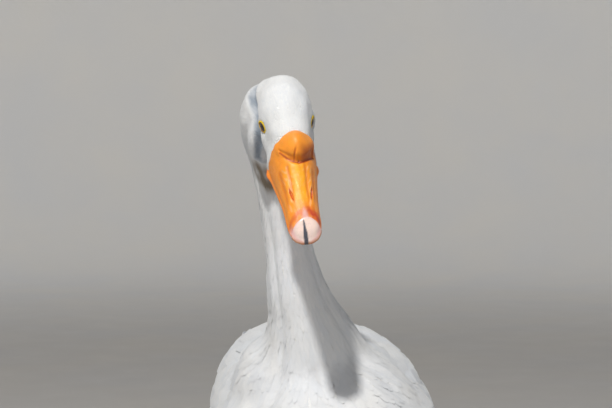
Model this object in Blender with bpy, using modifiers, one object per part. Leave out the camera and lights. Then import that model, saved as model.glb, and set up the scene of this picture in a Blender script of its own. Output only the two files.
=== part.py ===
"""A life-size white domestic goose with a knobbed bill, standing with its neck up and its bill tipped down.

Metres, +Z up. The goose faces -Y and its left side is +X. The origin is on the floor, under the middle of
its box. Lengths are named below, and the surface made here is the outer surface of the feathers.
"""

import math

import bmesh
import bpy
import numpy as np
from mathutils import Matrix, Vector

GAP = 0.0004  # between neighbouring solids
SIDES = {"left": 1, "right": -1}

# Trunk, from the breast to the root of the tail: (Y, top Z, bottom Z, half width).
TRUNK = (
    (-0.190, 0.314, 0.278, 0.022),
    (-0.178, 0.352, 0.240, 0.055),
    (-0.150, 0.382, 0.206, 0.079),
    (-0.105, 0.395, 0.177, 0.094),
    (-0.050, 0.398, 0.160, 0.099),
    (0.020, 0.398, 0.152, 0.100),
    (0.085, 0.396, 0.154, 0.095),
    (0.145, 0.391, 0.168, 0.083),
    (0.195, 0.382, 0.192, 0.066),
    (0.235, 0.370, 0.222, 0.050),
    (0.268, 0.352, 0.254, 0.034),
    (0.288, 0.338, 0.280, 0.018),
)
TRUNK_SQUARENESS = 2.0  # exponent of the superellipse that a section follows

# Neck, from inside the trunk up to inside the skull: (X, Y, Z, half width, half depth).
NECK = (
    (-0.0180, -0.070, 0.330, 0.078, 0.062),
    (-0.0200, -0.096, 0.368, 0.067, 0.060),
    (-0.0215, -0.110, 0.395, 0.0465, 0.052),
    (-0.0290, -0.120, 0.422, 0.0330, 0.0405),
    (-0.0360, -0.126, 0.445, 0.0272, 0.0328),
    (-0.0425, -0.130, 0.480, 0.0219, 0.0262),
    (-0.0488, -0.134, 0.520, 0.0213, 0.0242),
    (-0.0535, -0.141, 0.552, 0.0228, 0.0252),
    (-0.0568, -0.151, 0.577, 0.0284, 0.0285),
    (-0.0575, -0.166, 0.594, 0.0298, 0.0290),
    (-0.0565, -0.182, 0.602, 0.0255, 0.0240),
)

# The head stands on the point midway between the eyes, and turns about it.
EYES = Vector((-0.0521, -0.2093, 0.5852))
HEAD_PITCH, HEAD_HEADING, HEAD_ROLL = 40.8, 5.2, 7.4  # degrees: bill down, to its left, crown to its right

# Masses that make the head: (X, Y, Z, half width, half length, half height) in mm from EYES, +Y to the bill.
# An X above zero is mirrored to the other side.
HEAD_MASSES = (
    (0, -15, 1.5, 22.6, 37, 25.5),
    (9, -16, -11, 17.5, 27, 17),
    (6, 8, -13, 15, 24, 14.5),
    (0, 14, 3, 17, 20, 15),
    (0, 2, -21, 14, 28, 12),
)

# Upper bill: (Y, half width, ridge Z, rim Z) in mm from EYES.
BILL = (
    (12, 17.5, 14.0, -22.0),
    (26, 19.6, 10.0, -26.0),
    (36, 18.6, 6.0, -27.6),
    (47, 17.0, 1.8, -27.8),
    (58, 15.6, -3.6, -26.8),
    (69, 14.3, -8.0, -26.0),
    (80, 13.5, -11.2, -25.8),
    (90, 13.2, -14.6, -26.6),
    (98, 11.9, -19.0, -28.2),
    (103.5, 8.8, -23.2, -29.4),
    (106.5, 4.0, -27.0, -30.0),
)
BILL_SQUARENESS = 2.3
LOWER_BILL_DEPTH = (9.0, 7.5, 4.5, 3.0)  # mm, at even steps from the gape to the tip
LOWER_BILL_INSET = 1.6  # mm, how far the lower bill lies inside the upper one's rim
LOWER_BILL_END = 101.5
KNOB_CENTRE, KNOB_SIZE = (0, 33.0, 5.4), (15.6, 15.0, 15.4)
NAIL_CENTRE, NAIL_SIZE = (0, 104.0, -22.0), (10.2, 16.0, 12.0)

EYE_RADIUS, EYE_OFFSET = 7.6, 15.2  # mm, ball and its centre's distance from the middle plane

# Folded wing: a lens on the trunk's side, of which the outer layer is the wing.
WING_CENTRE = (0.0460, 0.020, 0.3180)
WING_SIZE = (0.0560, 0.200, 0.0700)
WING_RISE, WING_LEAN = 5.0, 12.0  # degrees: tip up, top edge inward
WING_HELD = {"left": (0.0, 4.0), "right": (0.001, 5.0)}  # held away by, and degrees that the tip turns in
WING_DEPTH = 0.010  # how far it reaches into the trunk's side

# Long flight feathers that stand out behind each wing: (X, Y, Z, half width, half thickness).
PRIMARIES = (
    (0.044, 0.130, 0.350, 0.012, 0.0100),
    (0.036, 0.180, 0.364, 0.018, 0.0160),
    (0.030, 0.225, 0.368, 0.017, 0.0130),
    (0.025, 0.270, 0.369, 0.016, 0.0090),
    (0.020, 0.315, 0.366, 0.012, 0.0055),
    (0.015, 0.355, 0.360, 0.006, 0.0020),
)
# Tail fan: (Y, Z, half width, half thickness).
TAIL = (
    (0.240, 0.305, 0.026, 0.0240),
    (0.272, 0.311, 0.036, 0.0190),
    (0.305, 0.319, 0.047, 0.0130),
    (0.338, 0.326, 0.056, 0.0080),
    (0.368, 0.331, 0.060, 0.0045),
    (0.390, 0.334, 0.048, 0.0020),
)

# Legs, for the left side: hip inside the trunk, hock, and the joint where the toes begin.
HIP = Vector((0.055, 0.030, 0.215))
HOCK = Vector((0.056, 0.077, 0.106))
TOE_JOINT = Vector((0.058, 0.053, 0.0125))
THIGH_RADII = (0.050, 0.040, 0.023, 0.0130)
SHANK_RADII = (0.0090, 0.0098, 0.0072, 0.0062, 0.0066, 0.0080)
TOES = {  # degrees outward from straight ahead, length, radius at the root
    "inner": (-27.0, 0.060, 0.0056),
    "middle": (4.0, 0.078, 0.0062),
    "outer": (33.0, 0.074, 0.0056),
}
HIND_TOE = ((-0.003, 0.008, 0.0150), (-0.007, 0.021, 0.0085))  # from over the joint's mark, its two ends
HIND_TOE_RADII = (0.0050, 0.0036)
TOE_TIP_SHARE = 0.66  # radius at a toe's tip, as a share of that at its root
TOE_LIFT = 0.72  # a toe's axis stands this share of its radius over the floor, so that its sole is flat
WEB_HEIGHTS = (0.0012, 0.0034)
WEB_REACH, WEB_HOLLOW = 0.93, 0.80  # share of the toes that the web spans, and of that at its middle
CLAW_LENGTH, CLAW_RADIUS = 0.0110, 0.0029

BODY_VOXEL, BODY_TRIANGLES = 0.004, 1600
BILL_VOXEL, BILL_TRIANGLES = 0.0013, 560
FOOT_VOXEL, FOOT_TRIANGLES = 0.0009, 380
# Thin cuts across the neck: (Y, Z, degrees that the cut falls towards the front).
NECK_CUTS = (
    ("neck_lower", -0.118, 0.414, 24.0),
    ("neck_upper", -0.130, 0.481, 6.0),
    ("head", -0.141, 0.552, 20.0),
)
THIGH_CUT = 0.1485


def smooth_table(rows, count):
    """The rows of a table, evened out along a smooth curve that passes through each of them."""
    rows = np.array(rows, float)
    knots = np.arange(len(rows))
    tangents = np.gradient(rows, axis=0)
    tangents[0], tangents[-1] = rows[1] - rows[0], rows[-1] - rows[-2]
    made = []
    for at in np.linspace(0, len(rows) - 1, count):
        i = min(int(at), len(knots) - 2)
        t = at - i
        made.append(
            (2 * t**3 - 3 * t**2 + 1) * rows[i]
            + (t**3 - 2 * t**2 + t) * tangents[i]
            + (3 * t**2 - 2 * t**3) * rows[i + 1]
            + (t**3 - t**2) * tangents[i + 1]
        )
    return np.array(made)


def superellipse(count, exponent):
    """Points of a unit superellipse, anticlockwise from +X."""
    angles = np.arange(count) * 2 * math.pi / count
    c, s = np.cos(angles), np.sin(angles)
    share = 2 / exponent
    return np.stack([np.sign(c) * abs(c) ** share, np.sign(s) * abs(s) ** share], axis=1)


def loft(rings):
    """A closed mesh through rings of equally many points, with a fan on each end."""
    mesh = bmesh.new()
    loops = [[mesh.verts.new(point) for point in ring] for ring in rings]
    around = len(loops[0])
    for low, high in zip(loops, loops[1:]):
        for i in range(around):
            j = (i + 1) % around
            mesh.faces.new((low[i], low[j], high[j], high[i]))
    for loop in (loops[0], loops[-1]):
        middle = mesh.verts.new(sum((v.co for v in loop), Vector()) / around)
        for i in range(around):
            mesh.faces.new((loop[i], loop[(i + 1) % around], middle))
    bmesh.ops.triangulate(mesh, faces=mesh.faces[:])
    bmesh.ops.recalc_face_normals(mesh, faces=mesh.faces[:])
    return mesh


def ball(centre, size, turn=Matrix.Identity(4), segments=32):
    """An ellipsoid as a mesh, its half sizes along its own axes."""
    mesh = bmesh.new()
    place = Matrix.Translation(centre) @ turn @ Matrix.Diagonal((*size, 1))
    bmesh.ops.create_uvsphere(mesh, u_segments=segments, v_segments=segments // 2, radius=1, matrix=place)
    return mesh


def tube(path, radii, around=16):
    """A round tube along a path, its radius read along it, with domed ends."""
    path = [Vector(p) for p in path]
    rings = []
    for i, point in enumerate(path):
        ahead, behind = path[min(i + 1, len(path) - 1)], path[max(i - 1, 0)]
        frame = (ahead - behind).to_track_quat("Z", "Y").to_matrix()
        for share, reach in dome(i, len(path)):
            centre = point + frame @ Vector((0, 0, reach * radii[i]))
            rings.append(
                [
                    centre + frame @ Vector((radii[i] * share * x, radii[i] * share * y, 0))
                    for x, y in superellipse(around, 2)
                ]
            )
    return loft(rings)


def dome(index, count):
    """(radius share, reach along the path) of the rings that stand for one point of a tube."""
    rounding = [(math.cos(a), math.sin(a)) for a in np.radians((0, 40, 72))]
    if index == 0:
        return [(share, -reach) for share, reach in reversed(rounding)]
    if index == count - 1:
        return rounding
    return [(1, 0)]


def plate(outline, low, high):
    """A flat plate between two heights, from the points of its outline."""
    rings = [[Vector((x, y, z)) for x, y in outline] for z in (low, high)]
    return loft(rings)


def box(low, high):
    """A box between two corners."""
    low, high = Vector(low), Vector(high)
    mesh = bmesh.new()
    place = Matrix.Translation((low + high) / 2) @ Matrix.Diagonal((*(high - low), 1))
    bmesh.ops.create_cube(mesh, size=1, matrix=place)
    return mesh


def material(name, colour, roughness):
    """A plain finish, made once for each name."""
    found = bpy.data.materials.get(name)
    if found:
        return found
    made = bpy.data.materials.new(name)
    made.use_nodes = True
    shader = made.node_tree.nodes["Principled BSDF"]
    shader.inputs["Base Color"].default_value = (*colour, 1)
    shader.inputs["Roughness"].default_value = roughness
    shader.inputs["Metallic"].default_value = 0
    made.diffuse_color = (*colour, 1)
    return made


FINISHES = {
    "plumage": ((0.86, 0.87, 0.89), 0.75),
    "bill": ((0.93, 0.37, 0.05), 0.42),
    "nail": ((0.86, 0.70, 0.62), 0.35),
    "eye": ((0.02, 0.015, 0.01), 0.05),
    "leg": ((0.90, 0.36, 0.06), 0.5),
    "claw": ((0.62, 0.52, 0.42), 0.4),
}


def collection(name, hidden=False):
    """A collection by name, made and linked the first time."""
    found = bpy.data.collections.get(name)
    if found is None:
        found = bpy.data.collections.new(name)
        bpy.context.scene.collection.children.link(found)
        found.hide_render = hidden
    return found


def add(name, mesh, finish=None):
    """Links a mesh as an object: a part where it has a finish, a helper where it has none."""
    data = bpy.data.meshes.new(name)
    mesh.to_mesh(data)
    mesh.free()
    obj = bpy.data.objects.new(name, data)
    if finish:
        collection("Goose").objects.link(obj)
        data.materials.append(material(finish, *FINISHES[finish]))
    else:
        collection("Helpers", hidden=True).objects.link(obj)
        obj.hide_render = True
        obj.display_type = "WIRE"
    return obj


def joined(meshes):
    """Several meshes as one, still separate shells."""
    whole = bmesh.new()
    for mesh in meshes:
        data = bpy.data.meshes.new("shell")
        mesh.to_mesh(data)
        mesh.free()
        whole.from_mesh(data)
        bpy.data.meshes.remove(data)
    return whole


def applied(obj):
    """The object's mesh with its modifiers applied, as a bmesh. The object itself is removed."""
    graph = bpy.context.evaluated_depsgraph_get()
    data = bpy.data.meshes.new_from_object(obj.evaluated_get(graph))
    mesh = bmesh.new()
    mesh.from_mesh(data)
    bpy.data.meshes.remove(data)
    bpy.data.objects.remove(obj)
    return mesh


def fused(meshes, voxel, smoothing, triangles):
    """Overlapping meshes grown together into one skin, smoothed where they meet, with few triangles."""
    obj = add("fusing", joined(meshes))
    remesh = obj.modifiers.new("Grow together", "REMESH")
    remesh.mode = "VOXEL"
    remesh.voxel_size = voxel
    smooth = obj.modifiers.new("Soften", "SMOOTH")
    smooth.factor = 0.5
    smooth.iterations = smoothing
    mesh = applied(obj)
    obj = add("thinning", mesh)
    count = sum(len(p.vertices) - 2 for p in obj.data.polygons)
    thin = obj.modifiers.new("Thin out", "DECIMATE")
    thin.ratio = min(1, triangles / count)
    mesh = applied(obj)
    bmesh.ops.triangulate(mesh, faces=mesh.faces[:])
    return mesh


def grown(mesh, distance):
    """A copy of a mesh, moved along its normals."""
    made = mesh.copy()
    made.normal_update()
    for vert in made.verts:
        vert.co += vert.normal * distance * vert.calc_shell_factor()
    return made


def combined(mesh, other, operation):
    """One mesh cut by, joined to or kept inside another. Both are used up."""
    obj, tool = add("working", mesh), add("tool", other)
    change = obj.modifiers.new("Combine", "BOOLEAN")
    change.operation = operation
    change.object = tool
    made = applied(obj)
    bpy.data.objects.remove(tool)
    return made


def parted(mesh, other):
    """(what of mesh is outside other, what is inside), with the gap between them."""
    outside = combined(mesh.copy(), grown(other, GAP), "DIFFERENCE")
    return outside, combined(mesh, other, "INTERSECT")


def head_frame():
    """From head millimetres, +Y to the bill and +Z to the crown, to the goose's metres."""
    turn = (
        Matrix.Rotation(math.radians(HEAD_HEADING), 4, "Z")
        @ Matrix.Rotation(math.radians(HEAD_PITCH), 4, "X")
        @ Matrix.Rotation(math.radians(-HEAD_ROLL), 4, "Y")
    )
    facing = Matrix.Diagonal((0.001, -0.001, 0.001, 1))
    return Matrix.Translation(EYES) @ turn @ facing


def in_head(mesh):
    """Carries a mesh from head millimetres into place."""
    mesh.transform(head_frame())
    bmesh.ops.reverse_faces(mesh, faces=mesh.faces[:])
    return mesh


def trunk(along=34, around=36):
    """The egg of the body, a loft along its length."""
    rings = []
    for y, top, bottom, half_width in smooth_table(TRUNK, along):
        middle, half_height = (top + bottom) / 2, (top - bottom) / 2
        rings.append(
            [
                Vector((x * half_width, y, middle + z * half_height))
                for x, z in superellipse(around, TRUNK_SQUARENESS)
            ]
        )
    return loft(rings)


def neck():
    """The neck, a loft from the breast up to the nape."""
    rows = smooth_table(NECK, 40)
    rings = []
    for i, (x, y, z, half_width, half_depth) in enumerate(rows):
        centre = Vector((x, y, z))
        along = Vector(rows[min(i + 1, len(rows) - 1)][:3] - rows[max(i - 1, 0)][:3]).normalized()
        side = Vector((0, 1, 0)).cross(along)
        side = Vector((1, 0, 0)) if side.length < 0.3 else side.normalized()
        back = along.cross(side)
        rings.append([centre + side * u * half_width + back * v * half_depth for u, v in superellipse(28, 2)])
    return loft(rings)


def head_masses():
    """The rounded masses that make up the skull, cheeks and nape."""
    meshes = []
    for x, y, z, *size in HEAD_MASSES:
        for side in (1, -1) if x else (1,):
            meshes.append(in_head(ball((side * x, y, z), size)))
    return meshes


def wing_lens(name, more=0.0):
    """The folded wing as a lens, or one bigger by a little all round."""
    side = SIDES[name]
    held, toe_in = WING_HELD[name]
    x, y, z = WING_CENTRE
    turn = (
        Matrix.Rotation(math.radians(side * toe_in), 4, "Z")
        @ Matrix.Rotation(math.radians(WING_RISE), 4, "X")
        @ Matrix.Rotation(math.radians(-side * WING_LEAN), 4, "Y")
    )
    return ball((side * (x + held), y, z), [half + more for half in WING_SIZE], turn, 20)


def wing_space(name, gap):
    """The space of the wing's layer: the lens, less the trunk's inside."""
    return combined(wing_lens(name, 0.002 + gap), grown(trunk(9, 14), -WING_DEPTH - gap), "DIFFERENCE")


def mirrored(point, side):
    """A point of the left half, taken to a side."""
    return Vector((side * point[0], point[1], point[2]))


def thigh(side):
    """The feathered thigh, from the hip down to the hock."""
    hip, hock = mirrored(HIP, side), mirrored(HOCK, side)
    path = [hip.lerp(hock, share) for share in (0, 0.35, 0.75, 1)]
    return tube(path, THIGH_RADII, 20)


def shank(side):
    """The bare shank, from inside the thigh down to the toes' joint."""
    hock, joint = mirrored(HOCK, side), mirrored(TOE_JOINT, side)
    path = [hock.lerp(joint, share) for share in (-0.12, 0.04, 0.22, 0.55, 0.85, 1)]
    return tube(path, SHANK_RADII, 9)


def toe_path(side, name):
    """Points along a toe from the joint to its tip, lying on the floor."""
    degrees, length, radius = TOES[name]
    angle = math.radians(degrees)
    ahead = Vector((side * math.sin(angle), -math.cos(angle), 0))
    root = mirrored(TOE_JOINT, side)
    points = [root]
    for share in (0.16, 0.40, 0.70, 1):
        point = root + ahead * length * share
        point.z = radius * TOE_LIFT * (1 - (1 - TOE_TIP_SHARE) * share)
        points.append(point)
    return points


def toe_radii(name):
    """Radii along a toe, thinner towards its claw."""
    radius = TOES[name][2]
    return [radius * (1 - (1 - TOE_TIP_SHARE) * share) for share in (0, 0.16, 0.40, 0.70, 1)]


def web(side, first, second):
    """The skin between two toes, hollowed along its front edge."""
    root = mirrored(TOE_JOINT, side)
    low, high = (toe_path(side, name)[-1] - root for name in (first, second))
    outline = [(root.x, root.y)]
    for share in np.linspace(0, 1, 9):
        hollow = 1 - (1 - WEB_HOLLOW) * 4 * share * (1 - share)
        reach = low.lerp(high, share)
        reach = reach.normalized() * (low.length * (1 - share) + high.length * share) * WEB_REACH * hollow
        outline.append((root.x + reach.x, root.y + reach.y))
    return plate(outline, *WEB_HEIGHTS)


def hind_toe(side):
    """The short toe at the back, as a line."""
    ground = mirrored((TOE_JOINT.x, TOE_JOINT.y, 0), side)
    return [ground + mirrored(end, side) for end in HIND_TOE]


def foot(side):
    """Toes, web and the joint that carries them, cut flat along the floor."""
    shapes = [ball(mirrored(TOE_JOINT, side), (0.0086, 0.0086, 0.0086))]
    for name in TOES:
        shapes.append(tube(toe_path(side, name), toe_radii(name), 12))
    for first, second in (("inner", "middle"), ("middle", "outer")):
        shapes.append(web(side, first, second))
    shapes.append(tube(hind_toe(side), HIND_TOE_RADII, 12))
    whole = fused(shapes, FOOT_VOXEL, 2, FOOT_TRIANGLES)
    return combined(whole, box((-0.5, -0.5, -0.1), (0.5, 0.5, 0)), "DIFFERENCE")


def claw(tip, ahead, radius):
    """A claw that carries on from a toe's tip and curves down a little."""
    path = [tip + ahead * CLAW_LENGTH * along for along in (0, 0.4, 1)]
    drop = max(0, tip.z - radius * 0.55)
    for point, share in zip(path, (0, 0.15, 1)):
        point.z = tip.z - drop * share
    return tube(path, [radius * share for share in (1, 0.8, 0.24)], 6)


def claws(side):
    """Each claw of one foot by name."""
    made = {}
    for name in TOES:
        path = toe_path(side, name)
        ahead = (path[-1] - path[-2]).normalized()
        ahead.z = 0
        made[name] = claw(path[-1] + ahead * 0.0018 + Vector((0, 0, 0.0006)), ahead, CLAW_RADIUS)
    root, tip = hind_toe(side)
    made["hind"] = claw(tip + (tip - root).normalized() * 0.001, (tip - root).normalized(), CLAW_RADIUS * 0.9)
    return made


def half_space(y, z, fall):
    """All that is over a tilted cut through the neck."""
    tilt = Matrix.Rotation(math.radians(fall), 4, "X")
    made = box((-0.5, -0.5, 0), (0.5, 0.5, 1))
    made.transform(Matrix.Translation((0, y, z)) @ tilt)
    return made


def body():
    """The whole feathered body in one skin, before it is parted."""
    meshes = [trunk(), neck(), *head_masses()]
    for name, side in SIDES.items():
        meshes += [wing_lens(name), thigh(side)]
    return fused(meshes, BODY_VOXEL, 10, BODY_TRIANGLES)


def flight_feathers(side):
    """One wing's folded flight feathers, a blade over the rump."""
    rings = []
    for x, y, z, half_width, half_thickness in smooth_table(PRIMARIES, 7):
        rings.append(
            [
                Vector((side * x + u * half_width, y, z + v * half_thickness))
                for u, v in superellipse(10, 2)
            ]
        )
    return loft(rings)


def tail():
    """The tail's feathers as one flat fan."""
    rings = []
    for y, z, half_width, half_thickness in smooth_table(TAIL, 8):
        rings.append(
            [Vector((u * half_width, y, z + v * half_thickness)) for u, v in superellipse(16, 2.4)]
        )
    return loft(rings)


def upper_bill():
    """The upper bill with its knob, in head millimetres."""
    rings = []
    for y, half_width, ridge, rim in smooth_table(BILL, 22):
        ring = []
        for u, v in superellipse(24, BILL_SQUARENESS):
            ring.append(Vector((u * half_width, y, rim + (v * (ridge - rim) if v > 0 else v * 0.8))))
        rings.append(ring)
    shell = joined([in_head(loft(rings)), in_head(ball(KNOB_CENTRE, KNOB_SIZE))])
    return fused([shell], BILL_VOXEL, 5, BILL_TRIANGLES)


def lower_bill():
    """The lower bill, a shallow trough under the upper one's rim, in head millimetres."""
    rows = [row for row in smooth_table(BILL, 11) if row[0] <= LOWER_BILL_END]
    rings = []
    for i, (y, half_width, _, rim) in enumerate(rows):
        depth = float(np.interp(i / (len(rows) - 1), np.linspace(0, 1, 4), LOWER_BILL_DEPTH))
        top = rim - 1.1
        ring = []
        for u, v in superellipse(12, BILL_SQUARENESS):
            reach = half_width - LOWER_BILL_INSET
            ring.append(Vector((u * reach, y, top + (v * depth if v < 0 else v * 0.2))))
        rings.append(ring)
    return in_head(loft(rings))


def eye(side):
    """An eyeball."""
    return in_head(ball((side * EYE_OFFSET, 0, 0), [EYE_RADIUS] * 3, segments=14))


def without(mesh, *others):
    """The mesh less others, each with the gap round it."""
    for other in others:
        mesh = combined(mesh, grown(other, GAP), "DIFFERENCE")
    return mesh


def thigh_space(side, top):
    """All that is under the belly on one side."""
    return box((min(0, side * 0.3), -0.5, 0.05), (max(0, side * 0.3), 0.5, top))


def build():
    """Makes every part, with the gaps between them."""
    bill = upper_bill()
    under = without(lower_bill(), bill)
    eyes = {name: eye(side) for name, side in SIDES.items()}
    rest = body()
    pieces = {}
    for name, y, z, fall in reversed(NECK_CUTS):
        pieces[name] = combined(rest.copy(), half_space(y, z, fall), "INTERSECT")
        rest = combined(rest, half_space(y, z - GAP, fall), "DIFFERENCE")
    pieces["head"] = without(pieces["head"], bill, under, *eyes.values())

    nail_space = in_head(ball(NAIL_CENTRE, NAIL_SIZE, segments=18))
    upper, nail = parted(bill, nail_space)
    add("bill_upper", upper, "bill")
    add("bill_nail", nail, "nail")
    add("bill_lower", under, "bill")

    fan = tail()
    quills = {name: flight_feathers(side) for name, side in SIDES.items()}
    for name, side in SIDES.items():
        add(f"eye_{name}", eyes[name], "eye")
        low = combined(rest.copy(), thigh_space(side, THIGH_CUT - GAP), "INTERSECT")
        leg, toes = shank(side), foot(side)
        add(f"thigh_{name}", without(low, leg), "plumage")
        for toe, mesh in claws(side).items():
            add(f"claw_{toe}_{name}", without(mesh, toes), "claw")
        add(f"shank_{name}", without(leg, toes), "leg")
        add(f"foot_{name}", toes, "leg")
        wing = combined(rest.copy(), wing_space(name, 0), "INTERSECT")
        add(f"wing_{name}", without(wing, quills[name]), "plumage")
    for name, side in SIDES.items():
        rest = combined(rest, wing_space(name, GAP), "DIFFERENCE")
        rest = without(rest, quills[name])
        add(f"primaries_{name}", quills[name], "plumage")
    rest = combined(rest, box((-0.5, -0.5, -0.1), (0.5, 0.5, THIGH_CUT)), "DIFFERENCE")
    add("trunk", without(rest, fan), "plumage")
    add("tail", fan, "plumage")
    for name, mesh in pieces.items():
        add(name, mesh, "plumage")
    settle()


def settle():
    """Moves every piece together so that the origin is under the middle of the goose's box."""
    objects = collection("Goose").objects
    points = np.array([vert.co for obj in objects for vert in obj.data.vertices])
    middle = (points.min(axis=0) + points.max(axis=0)) / 2
    for obj in objects:
        obj.data.transform(Matrix.Translation((-middle[0], -middle[1], 0)))


for old in list(bpy.data.objects):
    bpy.data.objects.remove(old)
build()
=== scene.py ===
"""Looks of a life-size white domestic goose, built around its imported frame.

The goose stands on the floor, faces -Y and has its left side towards +X. Metres and +Z up, but for the
head's own millimetres: x to its left, y to the bill's tip and z to the crown, from the middle of the eyes.
"""

import math

import bmesh
import bpy
import numpy as np
from bpy.props import FloatProperty, FloatVectorProperty, IntProperty, PointerProperty
from mathutils import Matrix, Vector
from mathutils.bvhtree import BVHTree
from mathutils.kdtree import KDTree


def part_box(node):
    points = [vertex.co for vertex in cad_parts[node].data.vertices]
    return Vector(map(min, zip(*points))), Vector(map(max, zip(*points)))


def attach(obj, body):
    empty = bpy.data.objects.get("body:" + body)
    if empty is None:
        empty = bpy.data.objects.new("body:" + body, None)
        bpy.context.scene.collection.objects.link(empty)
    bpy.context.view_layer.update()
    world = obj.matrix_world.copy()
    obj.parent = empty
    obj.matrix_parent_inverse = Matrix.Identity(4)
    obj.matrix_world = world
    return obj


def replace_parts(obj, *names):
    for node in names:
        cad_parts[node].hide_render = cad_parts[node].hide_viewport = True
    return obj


bl_info = {
    "name": "White Goose",
    "version": (1, 0, 0),
    "blender": (4, 5, 0),
    "location": "View3D > Sidebar > Goose",
    "description": "Skin, feathers, bill, eyes and legs of a standing white goose",
    "category": "Object",
}

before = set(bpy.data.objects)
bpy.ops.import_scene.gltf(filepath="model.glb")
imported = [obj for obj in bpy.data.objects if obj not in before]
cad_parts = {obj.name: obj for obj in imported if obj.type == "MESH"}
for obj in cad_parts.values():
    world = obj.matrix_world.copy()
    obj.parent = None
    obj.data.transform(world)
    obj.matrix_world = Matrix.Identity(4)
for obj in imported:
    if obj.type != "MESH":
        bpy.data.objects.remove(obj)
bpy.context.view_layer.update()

SIDES = {"left": 1, "right": -1}
FLESH = ("head", "neck_upper", "neck_lower", "trunk", "thigh_left", "thigh_right", "wing_left", "wing_right")


def middle_of(node):
    low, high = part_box(node)
    return (Vector(low) + Vector(high)) / 2


EYES = (middle_of("eye_left") + middle_of("eye_right")) / 2
DRAWN_EYES = Vector((-0.0521, -0.2093, 0.5852))  # where the tables below have the middle of the eyes
PLACE = EYES - DRAWN_EYES  # what is added to the tables' places
HEAD_TURN = (40.8, 5.2, 7.4)  # degrees: tipped down, turned to its left, leaning to its right

# The line that the feathers follow: (X, Y, Z, stage). Stage 0 is the face, 1 the nape, 2 the neck's root,
# 3 the middle of the trunk and 4 the tail.
STREAM = (
    (-0.0500, -0.2350, 0.5600, 0.00),
    (-0.0525, -0.2050, 0.5850, 0.35),
    (-0.0560, -0.1760, 0.5980, 0.80),
    (-0.0568, -0.1520, 0.5800, 1.00),
    (-0.0535, -0.1400, 0.5520, 1.15),
    (-0.0488, -0.1340, 0.5200, 1.35),
    (-0.0425, -0.1300, 0.4800, 1.60),
    (-0.0360, -0.1260, 0.4450, 1.85),
    (-0.0280, -0.1150, 0.4150, 2.10),
    (-0.0180, -0.0950, 0.3750, 2.30),
    (-0.0080, -0.0550, 0.3250, 2.50),
    (0.0000, 0.0200, 0.2900, 2.90),
    (0.0000, 0.1200, 0.2900, 3.30),
    (0.0000, 0.2100, 0.3050, 3.70),
    (0.0000, 0.2800, 0.3180, 4.00),
    (0.0000, 0.3800, 0.3320, 4.20),
)

LINE_BLEND = 0.006  # metres further off at which a part of the line counts a third of the nearest one

THIGH = ((0.055, 0.030, 0.215), (0.056, 0.077, 0.106))  # hip and hock of the left leg
THIGH_REACH = (0.030, 0.052)  # distances from that line between which its feathers pass into the body's
THIGH_TOP = (0.165, 0.215)  # heights between which they do so too
THIGH_HEADING = (0.0, 0.45, -0.89)
THIGH_STAGE = 2.30

# Feathers by stage, in mm: (stage, spacing, length, half width, lift of the tip, thickness).
COAT = np.array(
    (
        (0.00, 1.20, 3.2, 0.80, 0.26, 0.12),
        (0.35, 1.30, 4.6, 0.90, 0.32, 0.13),
        (0.80, 1.45, 6.6, 0.95, 0.40, 0.14),
        (1.15, 1.60, 9.5, 1.00, 0.46, 0.14),
        (1.60, 2.00, 14.0, 1.30, 0.50, 0.14),
        (2.00, 2.70, 20.0, 2.00, 0.60, 0.15),
        (2.30, 3.80, 27.0, 3.60, 0.85, 0.18),
        (2.60, 5.40, 32.0, 6.00, 1.25, 0.24),
        (3.30, 6.40, 36.0, 8.00, 1.80, 0.30),
        (4.20, 6.40, 38.0, 8.00, 1.90, 0.32),
    )
)

DIRTY = (  # dust on the plumage, behind the gape and on the breast: (X, Y, Z, size, amount)
    (-0.0665, -0.1573, 0.5420, 0.0100, 2.20),
    (-0.0715, -0.1550, 0.5470, 0.0075, 1.60),
    (-0.0625, -0.1577, 0.5355, 0.0075, 1.60),
    (-0.0205, -0.1600, 0.3745, 0.0075, 0.30),
    (-0.0360, -0.1600, 0.3740, 0.0060, 0.14),
    (0.0320, -0.1560, 0.3720, 0.0035, 0.45),
    (0.0320, -0.1550, 0.3670, 0.0030, 0.35),
)


class GooseSkin(bpy.types.PropertyGroup):
    grain: FloatProperty(
        name="Grain", description="Edge of the voxels the skin is grown from", default=0.0026, unit="LENGTH"
    )
    smoothing: IntProperty(name="Smoothing", description="Passes that even out the skin", default=26)
    fold_depth: FloatProperty(
        name="Fold depth", description="Depth of the folds down the neck", default=0.0026, unit="LENGTH"
    )
    hollow_depth: FloatProperty(
        name="Hollow depth", description="Depth of the hollow behind each eye", default=0.0050, unit="LENGTH"
    )


class GooseCoat(bpy.types.PropertyGroup):
    white: FloatVectorProperty(
        name="White", description="Clean plumage", default=(0.80, 0.81, 0.82), subtype="COLOR"
    )
    soiled: FloatVectorProperty(
        name="Soiled", description="Plumage with dust on it", default=(0.24, 0.19, 0.14), subtype="COLOR"
    )
    # painted shade: the colour laid along the hollows behind the eyes, on skin and feathers
    painted_shade_colour: FloatVectorProperty(
        name="Dusky", description="Plumage in the hollows", default=(0.15, 0.20, 0.27), subtype="COLOR"
    )
    unevenness: FloatProperty(
        name="Unevenness", description="How much feathers differ in size and lie", default=1.0
    )
    seed: IntProperty(name="Seed", description="Which scatter of feathers is used", default=7)


class GooseBill(bpy.types.PropertyGroup):
    orange: FloatVectorProperty(
        name="Orange", description="Most of the bill", default=(0.97, 0.325, 0.018), subtype="COLOR"
    )
    yellow: FloatVectorProperty(
        name="Yellow", description="Along the bill's top", default=(0.98, 0.44, 0.003), subtype="COLOR"
    )
    flush: FloatVectorProperty(
        name="Flush", description="Red before the nail", default=(0.56, 0.06, 0.020), subtype="COLOR"
    )
    nail: FloatVectorProperty(
        name="Nail", description="The pale nail at the tip", default=(0.88, 0.69, 0.62), subtype="COLOR"
    )
    grain: FloatProperty(
        name="Grain", description="Edge of the voxels the bill is grown from", default=0.00062, unit="LENGTH"
    )


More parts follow.
